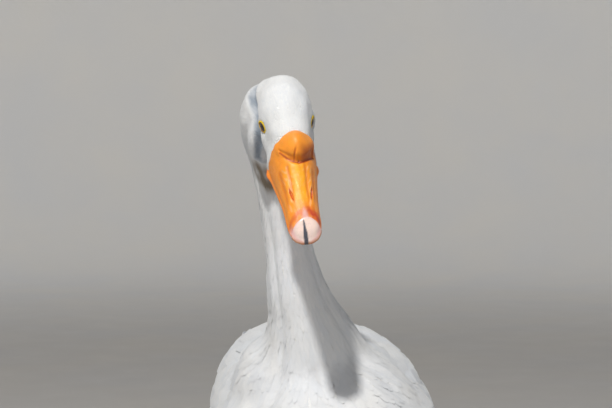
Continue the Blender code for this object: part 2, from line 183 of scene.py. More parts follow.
class GooseEye(bpy.types.PropertyGroup):
    radius: FloatProperty(name="Radius", description="Of the eyeball", default=0.0062, unit="LENGTH")
    iris: FloatVectorProperty(
        name="Iris", description="Colour round the pupil", default=(0.055, 0.022, 0.010), subtype="COLOR"
    )
    ring: FloatVectorProperty(
        name="Ring", description="Bare skin of the lids", default=(0.97, 0.68, 0.005), subtype="COLOR"
    )


class GooseLegs(bpy.types.PropertyGroup):
    orange: FloatVectorProperty(
        name="Orange", description="Skin of the feet", default=(0.84, 0.26, 0.03), subtype="COLOR"
    )
    claw: FloatVectorProperty(
        name="Claw", description="Horn of the claws", default=(0.62, 0.48, 0.36), subtype="COLOR"
    )


class GooseStage(bpy.types.PropertyGroup):
    floor: FloatVectorProperty(
        name="Floor", description="Colour of the floor", default=(0.48, 0.465, 0.445), subtype="COLOR"
    )
    key: FloatProperty(name="Key light", description="Power of the main light", default=262.0, unit="POWER")
    fill: FloatProperty(name="Fill light", description="Power of the wide light", default=2.0, unit="POWER")
    focal: FloatProperty(name="Focal length", description="Of the camera, in mm", default=105.9)


def blended(rows, count):
    """The rows of a table, evened out along a smooth curve that passes through each of them."""
    rows = np.array(rows, float)
    tangents = np.gradient(rows, axis=0)
    at = np.linspace(0, len(rows) - 1, count)
    i = np.minimum(at.astype(int), len(rows) - 2)
    t = (at - i)[:, None]
    low, high = rows[i], rows[i + 1]
    lead, trail = tangents[i], tangents[i + 1]
    return (
        (2 * t**3 - 3 * t**2 + 1) * low
        + (t**3 - 2 * t**2 + t) * lead
        + (3 * t**2 - 2 * t**3) * high
        + (t**3 - t**2) * trail
    )


def unit(vectors):
    return vectors / np.maximum(np.linalg.norm(vectors, axis=-1, keepdims=True), 1e-12)


def ramp(value, low, high):
    """0 below low, 1 above high, smooth between."""
    t = np.clip((value - low) / (high - low), 0, 1)
    return t * t * (3 - 2 * t)


def bell(value, middle, width):
    return np.exp(-(((value - middle) / width) ** 2))


def ripple(points, scale, seed=0):
    """Smooth noise between -1 and 1 over points, from a few sine waves."""
    rng = np.random.default_rng(seed)
    made = np.zeros(len(points))
    for _ in range(5):
        heading = unit(rng.normal(size=3)) * (2 * math.pi / scale) * rng.uniform(0.6, 1.6)
        made += np.sin(points @ heading + rng.uniform(0, 2 * math.pi))
    return made / 3


def ring_shape(count, exponent=2.0):
    """Points of a unit superellipse, anticlockwise from +X."""
    angles = np.arange(count) * 2 * math.pi / count
    c, s = np.cos(angles), np.sin(angles)
    return np.stack([np.sign(c) * abs(c) ** (2 / exponent), np.sign(s) * abs(s) ** (2 / exponent)], axis=1)


def placed(points):
    """Places of the tables, in the frame's metres."""
    return np.array(points) + np.array(PLACE)


def rows_of(items, field, width, kind=float):
    """A field of each item, as one row of numbers."""
    values = np.empty(len(items) * width, kind)
    items.foreach_get(field, values)
    return values.reshape(-1, width)


def vertices_of(mesh):
    return rows_of(mesh.vertices, "co", 3)


def normals_of(mesh):
    return rows_of(mesh.vertex_normals, "vector", 3)


def edges_of(mesh):
    return rows_of(mesh.edges, "vertices", 2, int)


def place_vertices(mesh, points):
    mesh.vertices.foreach_set("co", points.astype(np.float32).ravel())
    mesh.update()


def evened(points, edges, passes, shrink=False):
    """Points moved towards their neighbours' mean and, unless they may shrink, back out again."""
    a, b = edges[:, 0], edges[:, 1]
    count = np.bincount(a, minlength=len(points)) + np.bincount(b, minlength=len(points))
    count = np.maximum(count, 1)[:, None]
    steps = (0.5,) if shrink else (0.5, -0.52)
    for _ in range(passes):
        for step in steps:
            total = np.stack(
                [
                    np.bincount(a, points[b, k], len(points)) + np.bincount(b, points[a, k], len(points))
                    for k in range(points.shape[1])
                ],
                axis=1,
            )
            points = points + step * (total / count - points)
    return points


def smoothed(mesh, passes):
    """Evens a mesh out in place and gives its points."""
    points = evened(vertices_of(mesh), edges_of(mesh), passes)
    place_vertices(mesh, points)
    return points


def mark(mesh, name, values):
    """Stores one number for each vertex, for a material to read."""
    layer = mesh.attributes.get(name) or mesh.attributes.new(name, "FLOAT", "POINT")
    layer.data.foreach_set("value", np.asarray(values, np.float32))


def lofted(rings):
    """A closed bmesh through rings of equally many points."""
    mesh = bmesh.new()
    loops = [[mesh.verts.new(point) for point in ring] for ring in rings]
    around = len(loops[0])
    for low, high in zip(loops, loops[1:]):
        for i in range(around):
            j = (i + 1) % around
            mesh.faces.new((low[i], low[j], high[j], high[i]))
    for loop in (loops[0], loops[-1]):
        centre = mesh.verts.new(sum((v.co for v in loop), Vector()) / around)
        for i in range(around):
            mesh.faces.new((loop[i], loop[(i + 1) % around], centre))
    bmesh.ops.recalc_face_normals(mesh, faces=mesh.faces[:])
    return mesh


def ball(centre, size, segments=48):
    mesh = bmesh.new()
    place = Matrix.Translation(centre) @ Matrix.Diagonal((*size, 1))
    bmesh.ops.create_uvsphere(mesh, u_segments=segments, v_segments=segments // 2, radius=1, matrix=place)
    return mesh


def settled(mesh, name):
    """A bmesh as a mesh, freed."""
    data = bpy.data.meshes.new(name)
    mesh.to_mesh(data)
    mesh.free()
    return data


def linked(name, data):
    """A new object in the scene."""
    made = bpy.data.objects.new(name, data)
    bpy.context.scene.collection.objects.link(made)
    return made


def shaded_smooth(mesh):
    mesh.polygons.foreach_set("use_smooth", np.ones(len(mesh.polygons), bool))


def add(name, mesh, material):
    """Links a mesh as a piece that rides on the goose."""
    mesh.name = name
    piece = linked(name, mesh)
    mesh.materials.clear()
    mesh.materials.append(material)
    shaded_smooth(mesh)
    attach(piece, "root")
    return piece


def node_shells(names):
    """CAD nodes as bmeshes."""
    made = []
    for name in names:
        mesh = bmesh.new()
        mesh.from_mesh(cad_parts[name].data)
        made.append(mesh)
    return made


def grown_together(shells, voxel):
    """Overlapping or touching shells as one mesh of small even quads."""
    whole = bmesh.new()
    for shell in shells:
        data = settled(shell, "shell")
        whole.from_mesh(data)
        bpy.data.meshes.remove(data)
    data = settled(whole, "grown")
    source = linked("growing", data)
    remesh = source.modifiers.new("Grow together", "REMESH")
    remesh.mode = "VOXEL"
    remesh.voxel_size = voxel
    graph = bpy.context.evaluated_depsgraph_get()
    made = bpy.data.meshes.new_from_object(source.evaluated_get(graph))
    bpy.data.objects.remove(source)
    bpy.data.meshes.remove(data)
    return made


class Ground:
    """A surface to walk over: nearest points with smooth normals."""

    def __init__(self, mesh):
        self.points = vertices_of(mesh)
        self.normals = normals_of(mesh)
        mesh.calc_loop_triangles()
        self.corners = rows_of(mesh.loop_triangles, "vertices", 3, int)
        self.tree = BVHTree.FromPolygons(self.points.tolist(), self.corners.tolist())

    def nearest(self, points):
        """(nearest points, normals there, triangles)."""
        found = [self.tree.find_nearest(point) for point in points.tolist()]
        where = np.array([hit[0] for hit in found])
        face = np.array([hit[2] for hit in found], int)
        return where, self.normals_on(face, where), face

    def normals_on(self, face, where):
        corners = self.corners[face]
        reach = np.linalg.norm(self.points[corners] - where[:, None, :], axis=2)
        weight = 1 / (reach + 1e-4)
        return unit((self.normals[corners] * weight[:, :, None]).sum(axis=1))

    def on_faces(self, face, shares):
        """Points at barycentric shares of triangles."""
        return (self.points[self.corners[face]] * shares[:, :, None]).sum(axis=1)

    def areas(self):
        a, b, c = (self.points[self.corners[:, k]] for k in range(3))
        return np.linalg.norm(np.cross(b - a, c - a), axis=1) / 2


SHARED = {}  # what several pieces need and is made once: line, head's place, skin, unwrap


def stream():
    """The feathers' line, finely divided: points, headings and stages."""
    if "stream" not in SHARED:
        rows = blended(STREAM, 220)
        points = placed(rows[:, :3])
        SHARED["stream"] = points, unit(np.gradient(points, axis=0)), rows[:, 3]
    return SHARED["stream"]


def follow(points):
    """(heading of the coat, stage) for each point."""
    line, heading, stage = stream()
    headings = np.empty((len(points), 3))
    stages = np.empty(len(points))
    batch = 20000
    for start in range(0, len(points), batch):
        part = slice(start, start + batch)
        reach = np.linalg.norm(points[part][:, None, :] - line[None], axis=2)
        weight = np.exp(-(reach - reach.min(axis=1, keepdims=True)) / LINE_BLEND)
        weight /= weight.sum(axis=1, keepdims=True)
        headings[part] = weight @ heading
        stages[part] = weight @ stage
    on_leg = on_thigh(points)
    headings = headings * (1 - on_leg[:, None]) + np.array(THIGH_HEADING) * on_leg[:, None]
    return unit(headings), stages * (1 - on_leg) + THIGH_STAGE * on_leg


def on_thigh(points):
    """1 on the thighs, where feathers point down, and 0 elsewhere."""
    hip, hock = np.array(THIGH)
    share = np.zeros(len(points))
    for side in SIDES.values():
        start = placed(hip * (side, 1, 1))
        line = (hock - hip) * (side, 1, 1)
        along = np.clip((points - start) @ line / (line @ line), 0, 1)
        reach = np.linalg.norm(points - start - along[:, None] * line, axis=1)
        near = 1 - ramp(reach, *THIGH_REACH)
        share = np.maximum(share, near * (1 - ramp(points[:, 2] - PLACE[2], *THIGH_TOP)))
    return share


def along_surface(headings, normals):
    """Headings laid flat on the surface that the normals belong to."""
    return unit(headings - normals * (headings * normals).sum(axis=1, keepdims=True))


def head_frame():
    """From the head's millimetres to the goose's metres."""
    if "head" not in SHARED:
        pitch, heading, roll = (math.radians(angle) for angle in HEAD_TURN)
        turn = Matrix.Rotation(heading, 4, "Z") @ Matrix.Rotation(pitch, 4, "X")
        turn = turn @ Matrix.Rotation(-roll, 4, "Y") @ Matrix.Diagonal((0.001, -0.001, 0.001, 1))
        SHARED["head"] = Matrix.Translation(EYES) @ turn
    return SHARED["head"]


def to_head(points):
    """Metres to the head's millimetres."""
    back = np.array(head_frame().inverted())
    return points @ back[:3, :3].T + back[:3, 3]


def from_head(points):
    place = np.array(head_frame())
    return points @ place[:3, :3].T + place[:3, 3]


def in_head(mesh):
    """Carries a bmesh from the head's millimetres into place."""
    mesh.transform(head_frame())
    bmesh.ops.reverse_faces(mesh, faces=mesh.faces[:])
    return mesh


def finish(name, colour, rough, layers, mottle, bumps, **constants):
    """A procedural finish.

    Layers are (mark, colour), the mottle is (amount, scale) and bumps are (kind, scale, depth in metres).
    Constants are named after the shader's inputs, with low lines for spaces.
    """
    made = bpy.data.materials.new(name)
    made.use_nodes = True
    nodes, links = made.node_tree.nodes, made.node_tree.links
    shader = nodes["Principled BSDF"]
    for socket, value in constants.items():
        shader.inputs[socket.replace("_", " ")].default_value = value
    place = nodes.new("ShaderNodeTexCoord").outputs["Object"]

    def mixed(low, high, share, kind="MIX"):
        mix = nodes.new("ShaderNodeMix")
        mix.data_type = "RGBA"
        mix.blend_type = kind
        for socket, value in ((mix.inputs[6], low), (mix.inputs[7], high)):
            if isinstance(value, bpy.types.NodeSocket):
                links.new(value, socket)
            else:
                socket.default_value = (*value[:3], 1)
        links.new(share, mix.inputs[0])
        return mix.outputs[2]

    def noise(scale, detail=4.0):
        texture = nodes.new("ShaderNodeTexNoise")
        texture.inputs["Scale"].default_value = scale
        texture.inputs["Detail"].default_value = detail
        links.new(place, texture.inputs["Vector"])
        return texture.outputs["Fac"]

    def scaled(value, low, high):
        span = nodes.new("ShaderNodeMapRange")
        span.inputs["From Min"].default_value = 0.3
        span.inputs["From Max"].default_value = 0.7
        span.inputs["To Min"].default_value = low
        span.inputs["To Max"].default_value = high
        links.new(value, span.inputs["Value"])
        return span.outputs["Result"]

    paint = tuple(colour)
    for attribute, tint in layers:
        read = nodes.new("ShaderNodeAttribute")
        read.attribute_name = attribute
        paint = mixed(paint, tint, read.outputs["Fac"])
    amount, scale = mottle
    dark = tuple(c * (1 - amount * 2.2) for c in (1, 1.02, 1.06))
    paint = mixed(paint, dark, scaled(noise(scale), 0.0, 1.0), "MULTIPLY")
    links.new(paint, shader.inputs["Base Color"])
    links.new(scaled(noise(scale * 3), rough * 0.82, min(1.0, rough * 1.18)), shader.inputs["Roughness"])

    normal = None
    for kind, scale, depth in bumps:
        if kind == "cells":
            texture = nodes.new("ShaderNodeTexVoronoi")
            texture.feature = "DISTANCE_TO_EDGE"
            texture.inputs["Scale"].default_value = scale
            links.new(place, texture.inputs["Vector"])
            span = nodes.new("ShaderNodeMapRange")
            span.inputs["From Max"].default_value = 0.16
            links.new(texture.outputs["Distance"], span.inputs["Value"])
            height = span.outputs["Result"]
        elif kind == "barbs":
            texture = nodes.new("ShaderNodeTexWave")
            texture.inputs["Scale"].default_value = scale
            texture.inputs["Distortion"].default_value = 0.6
            read = nodes.new("ShaderNodeUVMap")
            read.uv_map = "Vane"
            links.new(read.outputs["UV"], texture.inputs["Vector"])
            height = texture.outputs["Fac"]
        else:
            height = noise(scale, 6.0)
        bump = nodes.new("ShaderNodeBump")
        bump.inputs["Distance"].default_value = depth
        bump.inputs["Strength"].default_value = 1.0
        links.new(height, bump.inputs["Height"])
        if normal:
            links.new(normal, bump.inputs["Normal"])
        normal = bump.outputs["Normal"]
    links.new(normal, shader.inputs["Normal"])
    made.diffuse_color = (*tuple(colour)[:3], 1)
    return made


BARBS = {"Contour feathers": 0.00004, "Wing feathers": 0.00009}  # metres that they stand out


def plumage(name):
    """White feathers, soft and matt: random blue-grey tone, dust where soiled, painted shade at covered
    roots and hollows.
    """
    made = bpy.data.materials.get(name)
    if made:
        return made
    coat = bpy.context.scene.goose_coat
    return finish(
        name,
        coat.white,
        0.62,
        # shade: each feather's random tone plus painted shade towards covered roots; the last layer is
        # painted shade along the hollows behind the eyes
        layers=(("shade", (0.62, 0.67, 0.74)), ("soil", coat.soiled), ("painted_hollow_shade", coat.painted_shade_colour)),
        mottle=(0.025, 26.0),
        bumps=(("barbs", 4.5, BARBS[name]),),
        Subsurface_Weight=0.12,
        Subsurface_Radius=(0.006, 0.005, 0.0045),
        Subsurface_Scale=1.0,
        Sheen_Weight=0.12,
        Sheen_Roughness=0.6,
        Specular_IOR_Level=0.25,
    )


# The bill in the head's millimetres: (Y, half width, height of the ridge, height of the rim).
BILL = np.array(
    (
        (12.0, 17.5, 14.0, -22.0),
        (26.0, 19.6, 10.0, -26.0),
        (36.0, 18.6, 6.0, -27.6),
        (47.0, 17.0, 1.8, -27.8),
        (58.0, 15.6, -3.6, -26.8),
        (69.0, 14.3, -8.0, -26.0),
        (80.0, 13.5, -11.2, -25.8),
        (90.0, 13.2, -14.6, -26.6),
        (98.0, 11.9, -19.0, -28.2),
        (103.5, 8.8, -23.2, -29.4),
        (106.5, 4.0, -27.0, -30.0),
    )
)
BILL_SQUARENESS = 2.3
KNOB_CENTRE = (1.4, 32.0, -1.2)
KNOB_SIZE = (16.3, 15.0, 18.6)
KNOB_SWEEP = 0.021  # how much its sides lie further back, per mm
KNOB_TAPER = 0.44  # share of its width that is lost at its crest
KNOB_LEAN = 0.4  # mm that its crest leans to the left
NOSTRILS = 0.8  # mm that the middle between the nostrils lies to the left


def bill_section(y, half, ridge, rim, more=0.0):
    """A ring of the upper bill, or one bigger by a little all round."""
    ring = []
    for u, v in ring_shape(72, BILL_SQUARENESS):
        rise = v * (ridge - rim + more) if v > 0 else v * (0.8 + more)
        ring.append(Vector((u * (half + more), y, rim + rise)))
    return ring


def knob_taper(z):
    """(share of the knob's width left, lean) at a height."""
    rise = np.clip((z - KNOB_CENTRE[2]) / KNOB_SIZE[2], 0, 1)
    return 1 - KNOB_TAPER * rise**1.6, KNOB_LEAN * rise


def knob():
    """The knob: narrow at its crest, its sides swept back."""
    mesh = ball(KNOB_CENTRE, KNOB_SIZE)
    for vertex in mesh.verts:
        aside = vertex.co.x - KNOB_CENTRE[0]
        width, lean = knob_taper(vertex.co.z)
        vertex.co.y -= KNOB_SWEEP * aside**2
        vertex.co.x = KNOB_CENTRE[0] + aside * width + lean
    return mesh


def bill_measures(local):
    """(side, share of the half width, along, height over the rim) of points in the head's millimetres."""
    x, y, z = local.T
    half = np.interp(y, BILL[:, 0], BILL[:, 1])
    rim = np.interp(y, BILL[:, 0], BILL[:, 3])
    return x, x / half, y, z - rim


def nostril_reach(x, y, over):
    """Distance from the nearer nostril's slit, 1 at its edge."""
    aside = np.abs(x - NOSTRILS) - (8.2 - 0.16 * (y - 70.5))
    return np.hypot(aside / 0.72, (y - 70.8) / 5.2) + 4 * (over < 5)


def nail_border(share):
    return 91.2 + 6.2 * np.abs(share - 0.13) ** 1.7


def cleft(x, y, over):
    """1 in the two short clefts low on the knob's front."""
    first = bell(x + 0.4 + 0.55 * (y - 43.5), 0, 0.8) * bell(y, 43.5, 1.9)
    second = bell(x - 2.4, 0, 0.7) * bell(y, 46.3, 1.2)
    return np.maximum(first, second) * (over > 18)


def crease_reach(x, y):
    """How far ahead of the knob's foot a point lies."""
    return y - (46.6 - 0.065 * (x - 2.0) ** 2)


def bill_relief(local):
    """How far the bill's surface stands out, in mm."""
    x, share, y, over = bill_measures(local)
    aside = np.abs(share)
    on_top = ramp(over, 4, 8)
    # the rim, the groove over it and the notches beneath it
    relief = 0.50 * bell(over, 1.0, 1.4) - 0.40 * bell(over, 4.4, 1.7)
    relief -= 0.35 * np.maximum(0, np.sin(y * 2 * math.pi / 2.1)) * bell(over, -0.6, 1.2) * (y < 98)
    # fine ripples along the bill, up to the nail
    lengthwise = ripple(np.stack([x, y * 0.13, over * 0.8], axis=1), 5.5, 5)
    relief += 0.16 * lengthwise * ramp(y, 44, 52) * (1 - ramp(y, 84, 92)) * on_top
    # ridges and furrows beside the nostrils
    window = ramp(y, 46, 50) * (1 - ramp(y, 66, 78)) * on_top
    relief += window * (0.35 * bell(aside, 0, 0.24) - 0.55 * bell(aside, 0.42, 0.08))
    relief += window * (0.30 * bell(aside, 0.60, 0.10) - 0.35 * bell(aside, 0.78, 0.06))
    # the nostrils, each with a low wall round it
    reach = nostril_reach(x, y, over)
    relief += 0.22 * bell(reach, 1.9, 0.7) - 1.8 * (1 - ramp(reach, 0.35, 1.15))
    # the knob: its clefts, the crease at its foot and its uneven surface
    relief -= 0.9 * cleft(x, y, over)
    relief -= 1.3 * bell(crease_reach(x, y), 0.4, 1.3) * (np.abs(x - 2) < 14) * (over > 12)
    relief += 0.35 * ripple(local, 12.0, 8) * bell(y, 34, 12) * ramp(over, 18, 26)
    # the corner of the mouth
    relief += 1.5 * bell(y, 30.5, 4.5) * bell(over, 0.4, 2.6)
    return relief


def bill_colours(mesh, local):
    """Marks where the bill's colours change, with painted shade round the knob and in the furrows, and
    painted highlights along the ridges.
    """
    x, share, y, over = bill_measures(local)
    aside = np.abs(share)
    on_top = ramp(over, 4, 9)
    below_knob = ramp(y, 45, 49)
    streak = ripple(np.stack([x, y * 0.07, over * 0.7], axis=1), 4.2, 15)
    fine = ripple(np.stack([x, y * 0.05, over * 0.7], axis=1), 2.4, 25)
    window = below_knob * (1 - ramp(y, 70, 88))
    mark(mesh, "yellow", np.clip(window * bell(aside, 0.02, 0.50) * (0.68 + 0.3 * streak), 0, 1))
    # painted highlights: pale peach streaks along the fine ridges of the bill's upper sides
    mark(mesh, "pale", 0.55 * ramp(fine, 0.15, 0.8) * below_knob * on_top * bell(aside, 0.55, 0.28))
    # painted shade in the furrows beside the nostrils' ridges
    furrows = np.maximum(bell(aside, 0.42, 0.07), bell(aside, 0.78, 0.06))
    mark(mesh, "painted_furrow_shade", 0.65 * window * on_top * furrows)
    mark(mesh, "edge", np.clip(0.75 * (1 - ramp(over, 0.5, 7)) + 0.12 * (y < 46) * (over < 22), 0, 1))
    mark(mesh, "pit", 1 - ramp(nostril_reach(x, y, over), 0.7, 1.5))
    uneven = 1.4 * ripple(local, 5.0, 31)
    left = ramp(share, -0.1, 0.5)
    band = bell(y + uneven, nail_border(share) - 4.0, 3.6 + 1.6 * left)
    mark(mesh, "flush", (0.62 + 0.38 * left) * band * ramp(over, 1, 4))
    wedge = 1 - ramp(np.abs(x - 0.8) - (y - 82) * 0.26, -1.4, 1.6)
    side_pink = bell(aside, 0.92, 0.16) * bell(y, 98.5, 3.2)
    mark(mesh, "rosy", np.clip(0.85 * wedge * ramp(y, 81, 88) + side_pink, 0, 1))
    on_knob = (over > 20) & (y < 50)
    mark(mesh, "crest", 0.35 * on_knob * bell(x, 0, 7.5) * bell(y, 26, 8))
    # painted shade: dark in the fold at the knob's foot, over the knob's lower left part and in its two
    # clefts
    ahead = crease_reach(x, y)
    painted_crease_shade = bell(ahead, 0.3, 1.2) * (np.abs(x - 2) < 14) + 0.75 * bell(ahead, -2.2, 3.4) * ramp(x, 1, 8)
    mark(mesh, "painted_crease_shade", np.clip(0.9 * painted_crease_shade * (over > 12) + 0.85 * cleft(x, y, over), 0, 1))


class GOOSE_OT_bill(bpy.types.Operator):
    """Upper bill with its knob, the nail at its tip and the lower bill"""

    bl_idname = "goose.bill"
    bl_label = "Bill"

    def execute(self, context):
        look = context.scene.goose_bill
        rings = [bill_section(*row) for row in blended(BILL, 70)]
        mesh = grown_together([in_head(lofted(rings)), in_head(knob())], look.grain)
        points = evened(smoothed(mesh, 10), edges_of(mesh), 3, shrink=True)
        place_vertices(mesh, points)
        points = points + normals_of(mesh) * (bill_relief(to_head(points)) / 1000)[:, None]
        place_vertices(mesh, points)
        bill_colours(mesh, to_head(points))
        bill_finish = finish(
            "Bill",
            look.orange,
            0.44,
            layers=(
                ("yellow", look.yellow),
                # painted highlights along the bill's ridges
                ("pale", (0.97, 0.56, 0.26)),
                # painted shade in the furrows beside the nostrils
                ("painted_furrow_shade", (0.62, 0.14, 0.008)),
                ("edge", (0.92, 0.24, 0.025)),
                ("crest", (0.95, 0.36, 0.14)),
                ("flush", look.flush),
                ("rosy", (0.72, 0.40, 0.37)),
                ("pit", (0.50, 0.035, 0.010)),
                # painted shade round the knob's foot, on its lower left and in its clefts
                ("painted_crease_shade", (0.34, 0.045, 0.004)),
            ),
            mottle=(0.06, 140.0),
            bumps=(("fine", 380.0, 0.00020), ("cells", 900.0, 0.00005)),
            Subsurface_Weight=0.10,
            Subsurface_Radius=(0.003, 0.0012, 0.0005),
            Coat_Weight=0.08,
            Coat_Roughness=0.35,
        )
        upper = add("bill_upper_horn", mesh, bill_finish)
        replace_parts(upper, "bill_upper")
        self.add_nail(mesh, look)
        self.add_lower(bill_finish)
        return {"FINISHED"}

    def add_nail(self, bill, look):
        """The nail lies over the bill's tip as a plate whose edge sinks into it."""
        mesh = bmesh.new()
        mesh.from_mesh(bill)
        local = to_head(np.array([v.co for v in mesh.verts]))
        _, share, y, _ = bill_measures(local)
        outside = [v for v, s in zip(mesh.verts, y - nail_border(share)) if s < -0.3]
        bmesh.ops.delete(mesh, geom=outside, context="VERTS")
        local = to_head(np.array([v.co for v in mesh.verts]))
        x, share, y, over = bill_measures(local)
        inward = ramp(y - nail_border(share), -0.3, 1.6)
        for vertex, s, n in zip(mesh.verts, inward, [v.normal.copy() for v in mesh.verts]):
            vertex.co += n * (0.00085 * s**0.7 - 0.00035)
        data = settled(mesh, "nail")
        middle = -1.2 + 0.03 * (y - 93)
        half = 0.30 + 0.45 * ramp(y, 93, 98) + 0.75 * ramp(y, 98, 103)
        mark(data, "stripe", 0.95 * (1 - ramp(np.abs(x - middle) - half, -0.25, 0.45)) * ramp(y, 92.5, 94.5))
        mark(data, "blush", 0.9 * (1 - ramp(over, 0.8, 3.2)))
        outline = bell(y - nail_border(share), 0, 1.4) + bell(np.abs(share), 0.95, 0.14)
        mark(data, "rosy", np.clip(outline, 0, 1) * 0.8)
        nail_finish = finish(
            "Nail",
            look.nail,
            0.30,
            layers=(
                ("rosy", (0.84, 0.46, 0.44)),
                ("blush", (0.60, 0.22, 0.07)),
                ("stripe", (0.030, 0.045, 0.075)),
            ),
            mottle=(0.06, 150.0),
            bumps=(("fine", 300.0, 0.00012),),
            Subsurface_Weight=0.12,
            Subsurface_Radius=(0.003, 0.0018, 0.0012),
            Coat_Weight=0.3,
            Coat_Roughness=0.2,
        )
        nail = add("bill_nail_plate", data, nail_finish)
        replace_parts(nail, "bill_nail")

    def add_lower(self, bill_finish):
        """The lower bill, a shallow trough under the upper one's rim."""
        rings = []
        rows = blended(BILL, 60)
        rows = rows[(rows[:, 0] > 14) & (rows[:, 0] <= 101.5)]
        for share, (y, half, _, rim) in zip(np.linspace(0, 1, len(rows)), rows):
            depth = np.interp(share, (0, 0.33, 0.67, 1), (9.0, 7.5, 4.5, 3.0))
            ring = [
                (u * (half - 1.6), y, rim - 0.9 + (v * depth if v < 0 else v * 0.2))
                for u, v in ring_shape(48, BILL_SQUARENESS)
            ]
            rings.append([Vector(point) for point in ring])
        mesh = grown_together([in_head(lofted(rings))], 0.0008)
        smoothed(mesh, 8)
        mark(mesh, "edge", np.full(len(mesh.vertices), 0.35))
        lower = add("bill_lower_horn", mesh, bill_finish)
        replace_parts(lower, "bill_lower")


EYE_OUT = 20.7  # mm from the head's middle to the plane of an eye's opening
EYE_TURN = math.radians(22)  # that an eye looks ahead of straight sideways
EYE_PROUD = 1.0  # mm that the ball stands out of its opening
LID_EDGE, EYE_REACH = 5.6, 9.5  # mm from the opening's middle: the lids' edge, and the end of the flat skin
LIDS = (  # from the opening outwards: (half length, half height, height over the opening), mm
    (4.10, 3.65, -1.30),
    (4.15, 3.70, -0.60),
    (4.30, 3.85, -0.15),
    (4.60, 4.15, 0.14),
    (4.95, 4.50, 0.16),
    (5.30, 4.85, -0.02),
    (5.70, 5.25, -0.45),
    (5.90, 5.45, -1.30),
)


def eye_frame(side):
    """(middle of the opening, way out, way ahead, way up) of an eye, in the head's millimetres."""
    c, s = math.cos(EYE_TURN), math.sin(EYE_TURN)
    middle = np.array((side * EYE_OUT, 0.2, 0.0))
    return middle, np.array((side * c, s, 0.0)), np.array((-side * s, c, 0.0)), np.array((0.0, 0.0, 1.0))


class GOOSE_OT_eyes(bpy.types.Operator):
    """Dark wet eyes in yellow lids"""

    bl_idname = "goose.eyes"
    bl_label = "Eyes"

    def execute(self, context):
        look = context.scene.goose_eye
        radius = look.radius * 1000
        ball_finish = finish(
            "Eyeball",
            look.iris,
            0.12,
            layers=(("pupil", (0.004, 0.003, 0.003)),),
            mottle=(0.2, 900.0),
            bumps=(("fine", 1200.0, 0.00001),),
            Coat_Weight=0.5,
            Coat_Roughness=0.04,
        )
        lid_finish = finish(
            "Lids",
            look.ring,
            0.5,
            layers=(("inner", (0.55, 0.22, 0.02)), ("blush", (0.85, 0.36, 0.16))),
            mottle=(0.08, 400.0),
            bumps=(("cells", 1400.0, 0.00008),),
            Subsurface_Weight=0.1,
            Subsurface_Radius=(0.002, 0.0012, 0.0005),
        )
        for name, side in SIDES.items():
            middle, out, ahead, up = eye_frame(side)
            centre = middle + out * (EYE_PROUD - radius)
            data = settled(in_head(ball(Vector(centre), [radius] * 3, segments=56)), "eye")
            local = to_head(vertices_of(data)) - centre
            reach = np.hypot(local @ ahead, local @ up)
            mark(data, "pupil", (1 - ramp(reach, 2.1, 2.5)) * (local @ out > 0))
            eye = add(f"eye_{name}_ball", data, ball_finish)
            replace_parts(eye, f"eye_{name}")
            self.add_lids(name, side, lid_finish)
        return {"FINISHED"}

    def add_lids(self, name, side, lid_finish):
        """A ring of bare wrinkled skin round the opening."""
        middle, out, ahead, up = eye_frame(side)
        around = 96
        angle = np.arange(around) * 2 * math.pi / around
        rings, inner, blush = [], [], []
        for i, (long, tall, height) in enumerate(LIDS):
            wrinkle = 0.05 * np.sin(angle * 28 + i) * (2 < i < 6)
            corner = 1 + 0.05 * np.abs(np.cos(angle)) ** 8
            ring = middle + out * (height + wrinkle)[:, None]
            ring = ring + ahead * (long * corner * np.cos(angle))[:, None]
            rings.append(ring + up * (tall * np.sin(angle))[:, None])
            inner.append(np.full(around, float(i < 3)))
            blush.append(0.6 * ramp(-np.sin(angle), 0.5, 1.0))
        faces = []
        for i in range(len(rings)):
            low, high = i * around, ((i + 1) % len(rings)) * around
            for j in range(around):
                k = (j + 1) % around
                faces.append((low + j, low + k, high + k, high + j))
        made = bmesh.new()
        data = bpy.data.meshes.new("lids")
        data.from_pydata(from_head(np.concatenate(rings)).tolist(), [], faces)
        made.from_mesh(data)
        bmesh.ops.recalc_face_normals(made, faces=made.faces[:])
        made.to_mesh(data)
        made.free()
        mark(data, "inner", np.concatenate(inner))
        mark(data, "blush", np.concatenate(blush))
        add(f"lids_{name}", data, lid_finish)


# What the folded flight feathers of a wing lie on: (X, Y, height of the top, half width).
BED = (
    (0.0400, 0.125, 0.374, 0.018),
    (0.0395, 0.155, 0.3735, 0.025),
    (0.0370, 0.180, 0.3695, 0.026),
    (0.0335, 0.205, 0.3645, 0.022),
    (0.0300, 0.235, 0.3590, 0.018),
    (0.0255, 0.275, 0.3530, 0.012),
    (0.0220, 0.305, 0.3500, 0.006),
)

# The hollow's line behind and below an eye, in the head's millimetres: (Y, Z).
HOLLOW = (
    (-50.0, 2.0),
    (-31.0, -0.5),
    (-20.0, -0.5),
    (-12.0, -2.5),
    (-6.4, -6.5),
    (-3.5, -13.0),
    (-2.0, -21.0),
    (-3.0, -31.0),
    (-5.0, -41.0),
    (-8.0, -50.0),
    (-12.0, -57.0),
)


# How far the skin lies under the outline that the solids give: stages, and mm there.
SKIN_STAGES = (0, 0.8, 1.2, 2.0, 2.6, 3.3, 4.2)
SKIN_DEPTHS = (0.5, 0.9, 1.4, 2.4, 3.8, 4.4, 4.0)
OVERLAP = 0.0009  # metres that the solids of the flesh swell by, so that neighbours grow together
CUFF_PLACE = 0.13  # share of the way from hock to hip
CUFF_SIZE = (0.0165, 0.0170, 0.0200)


def skin_depth(points):
    return np.interp(follow(points)[1], SKIN_STAGES, SKIN_DEPTHS) / 1000


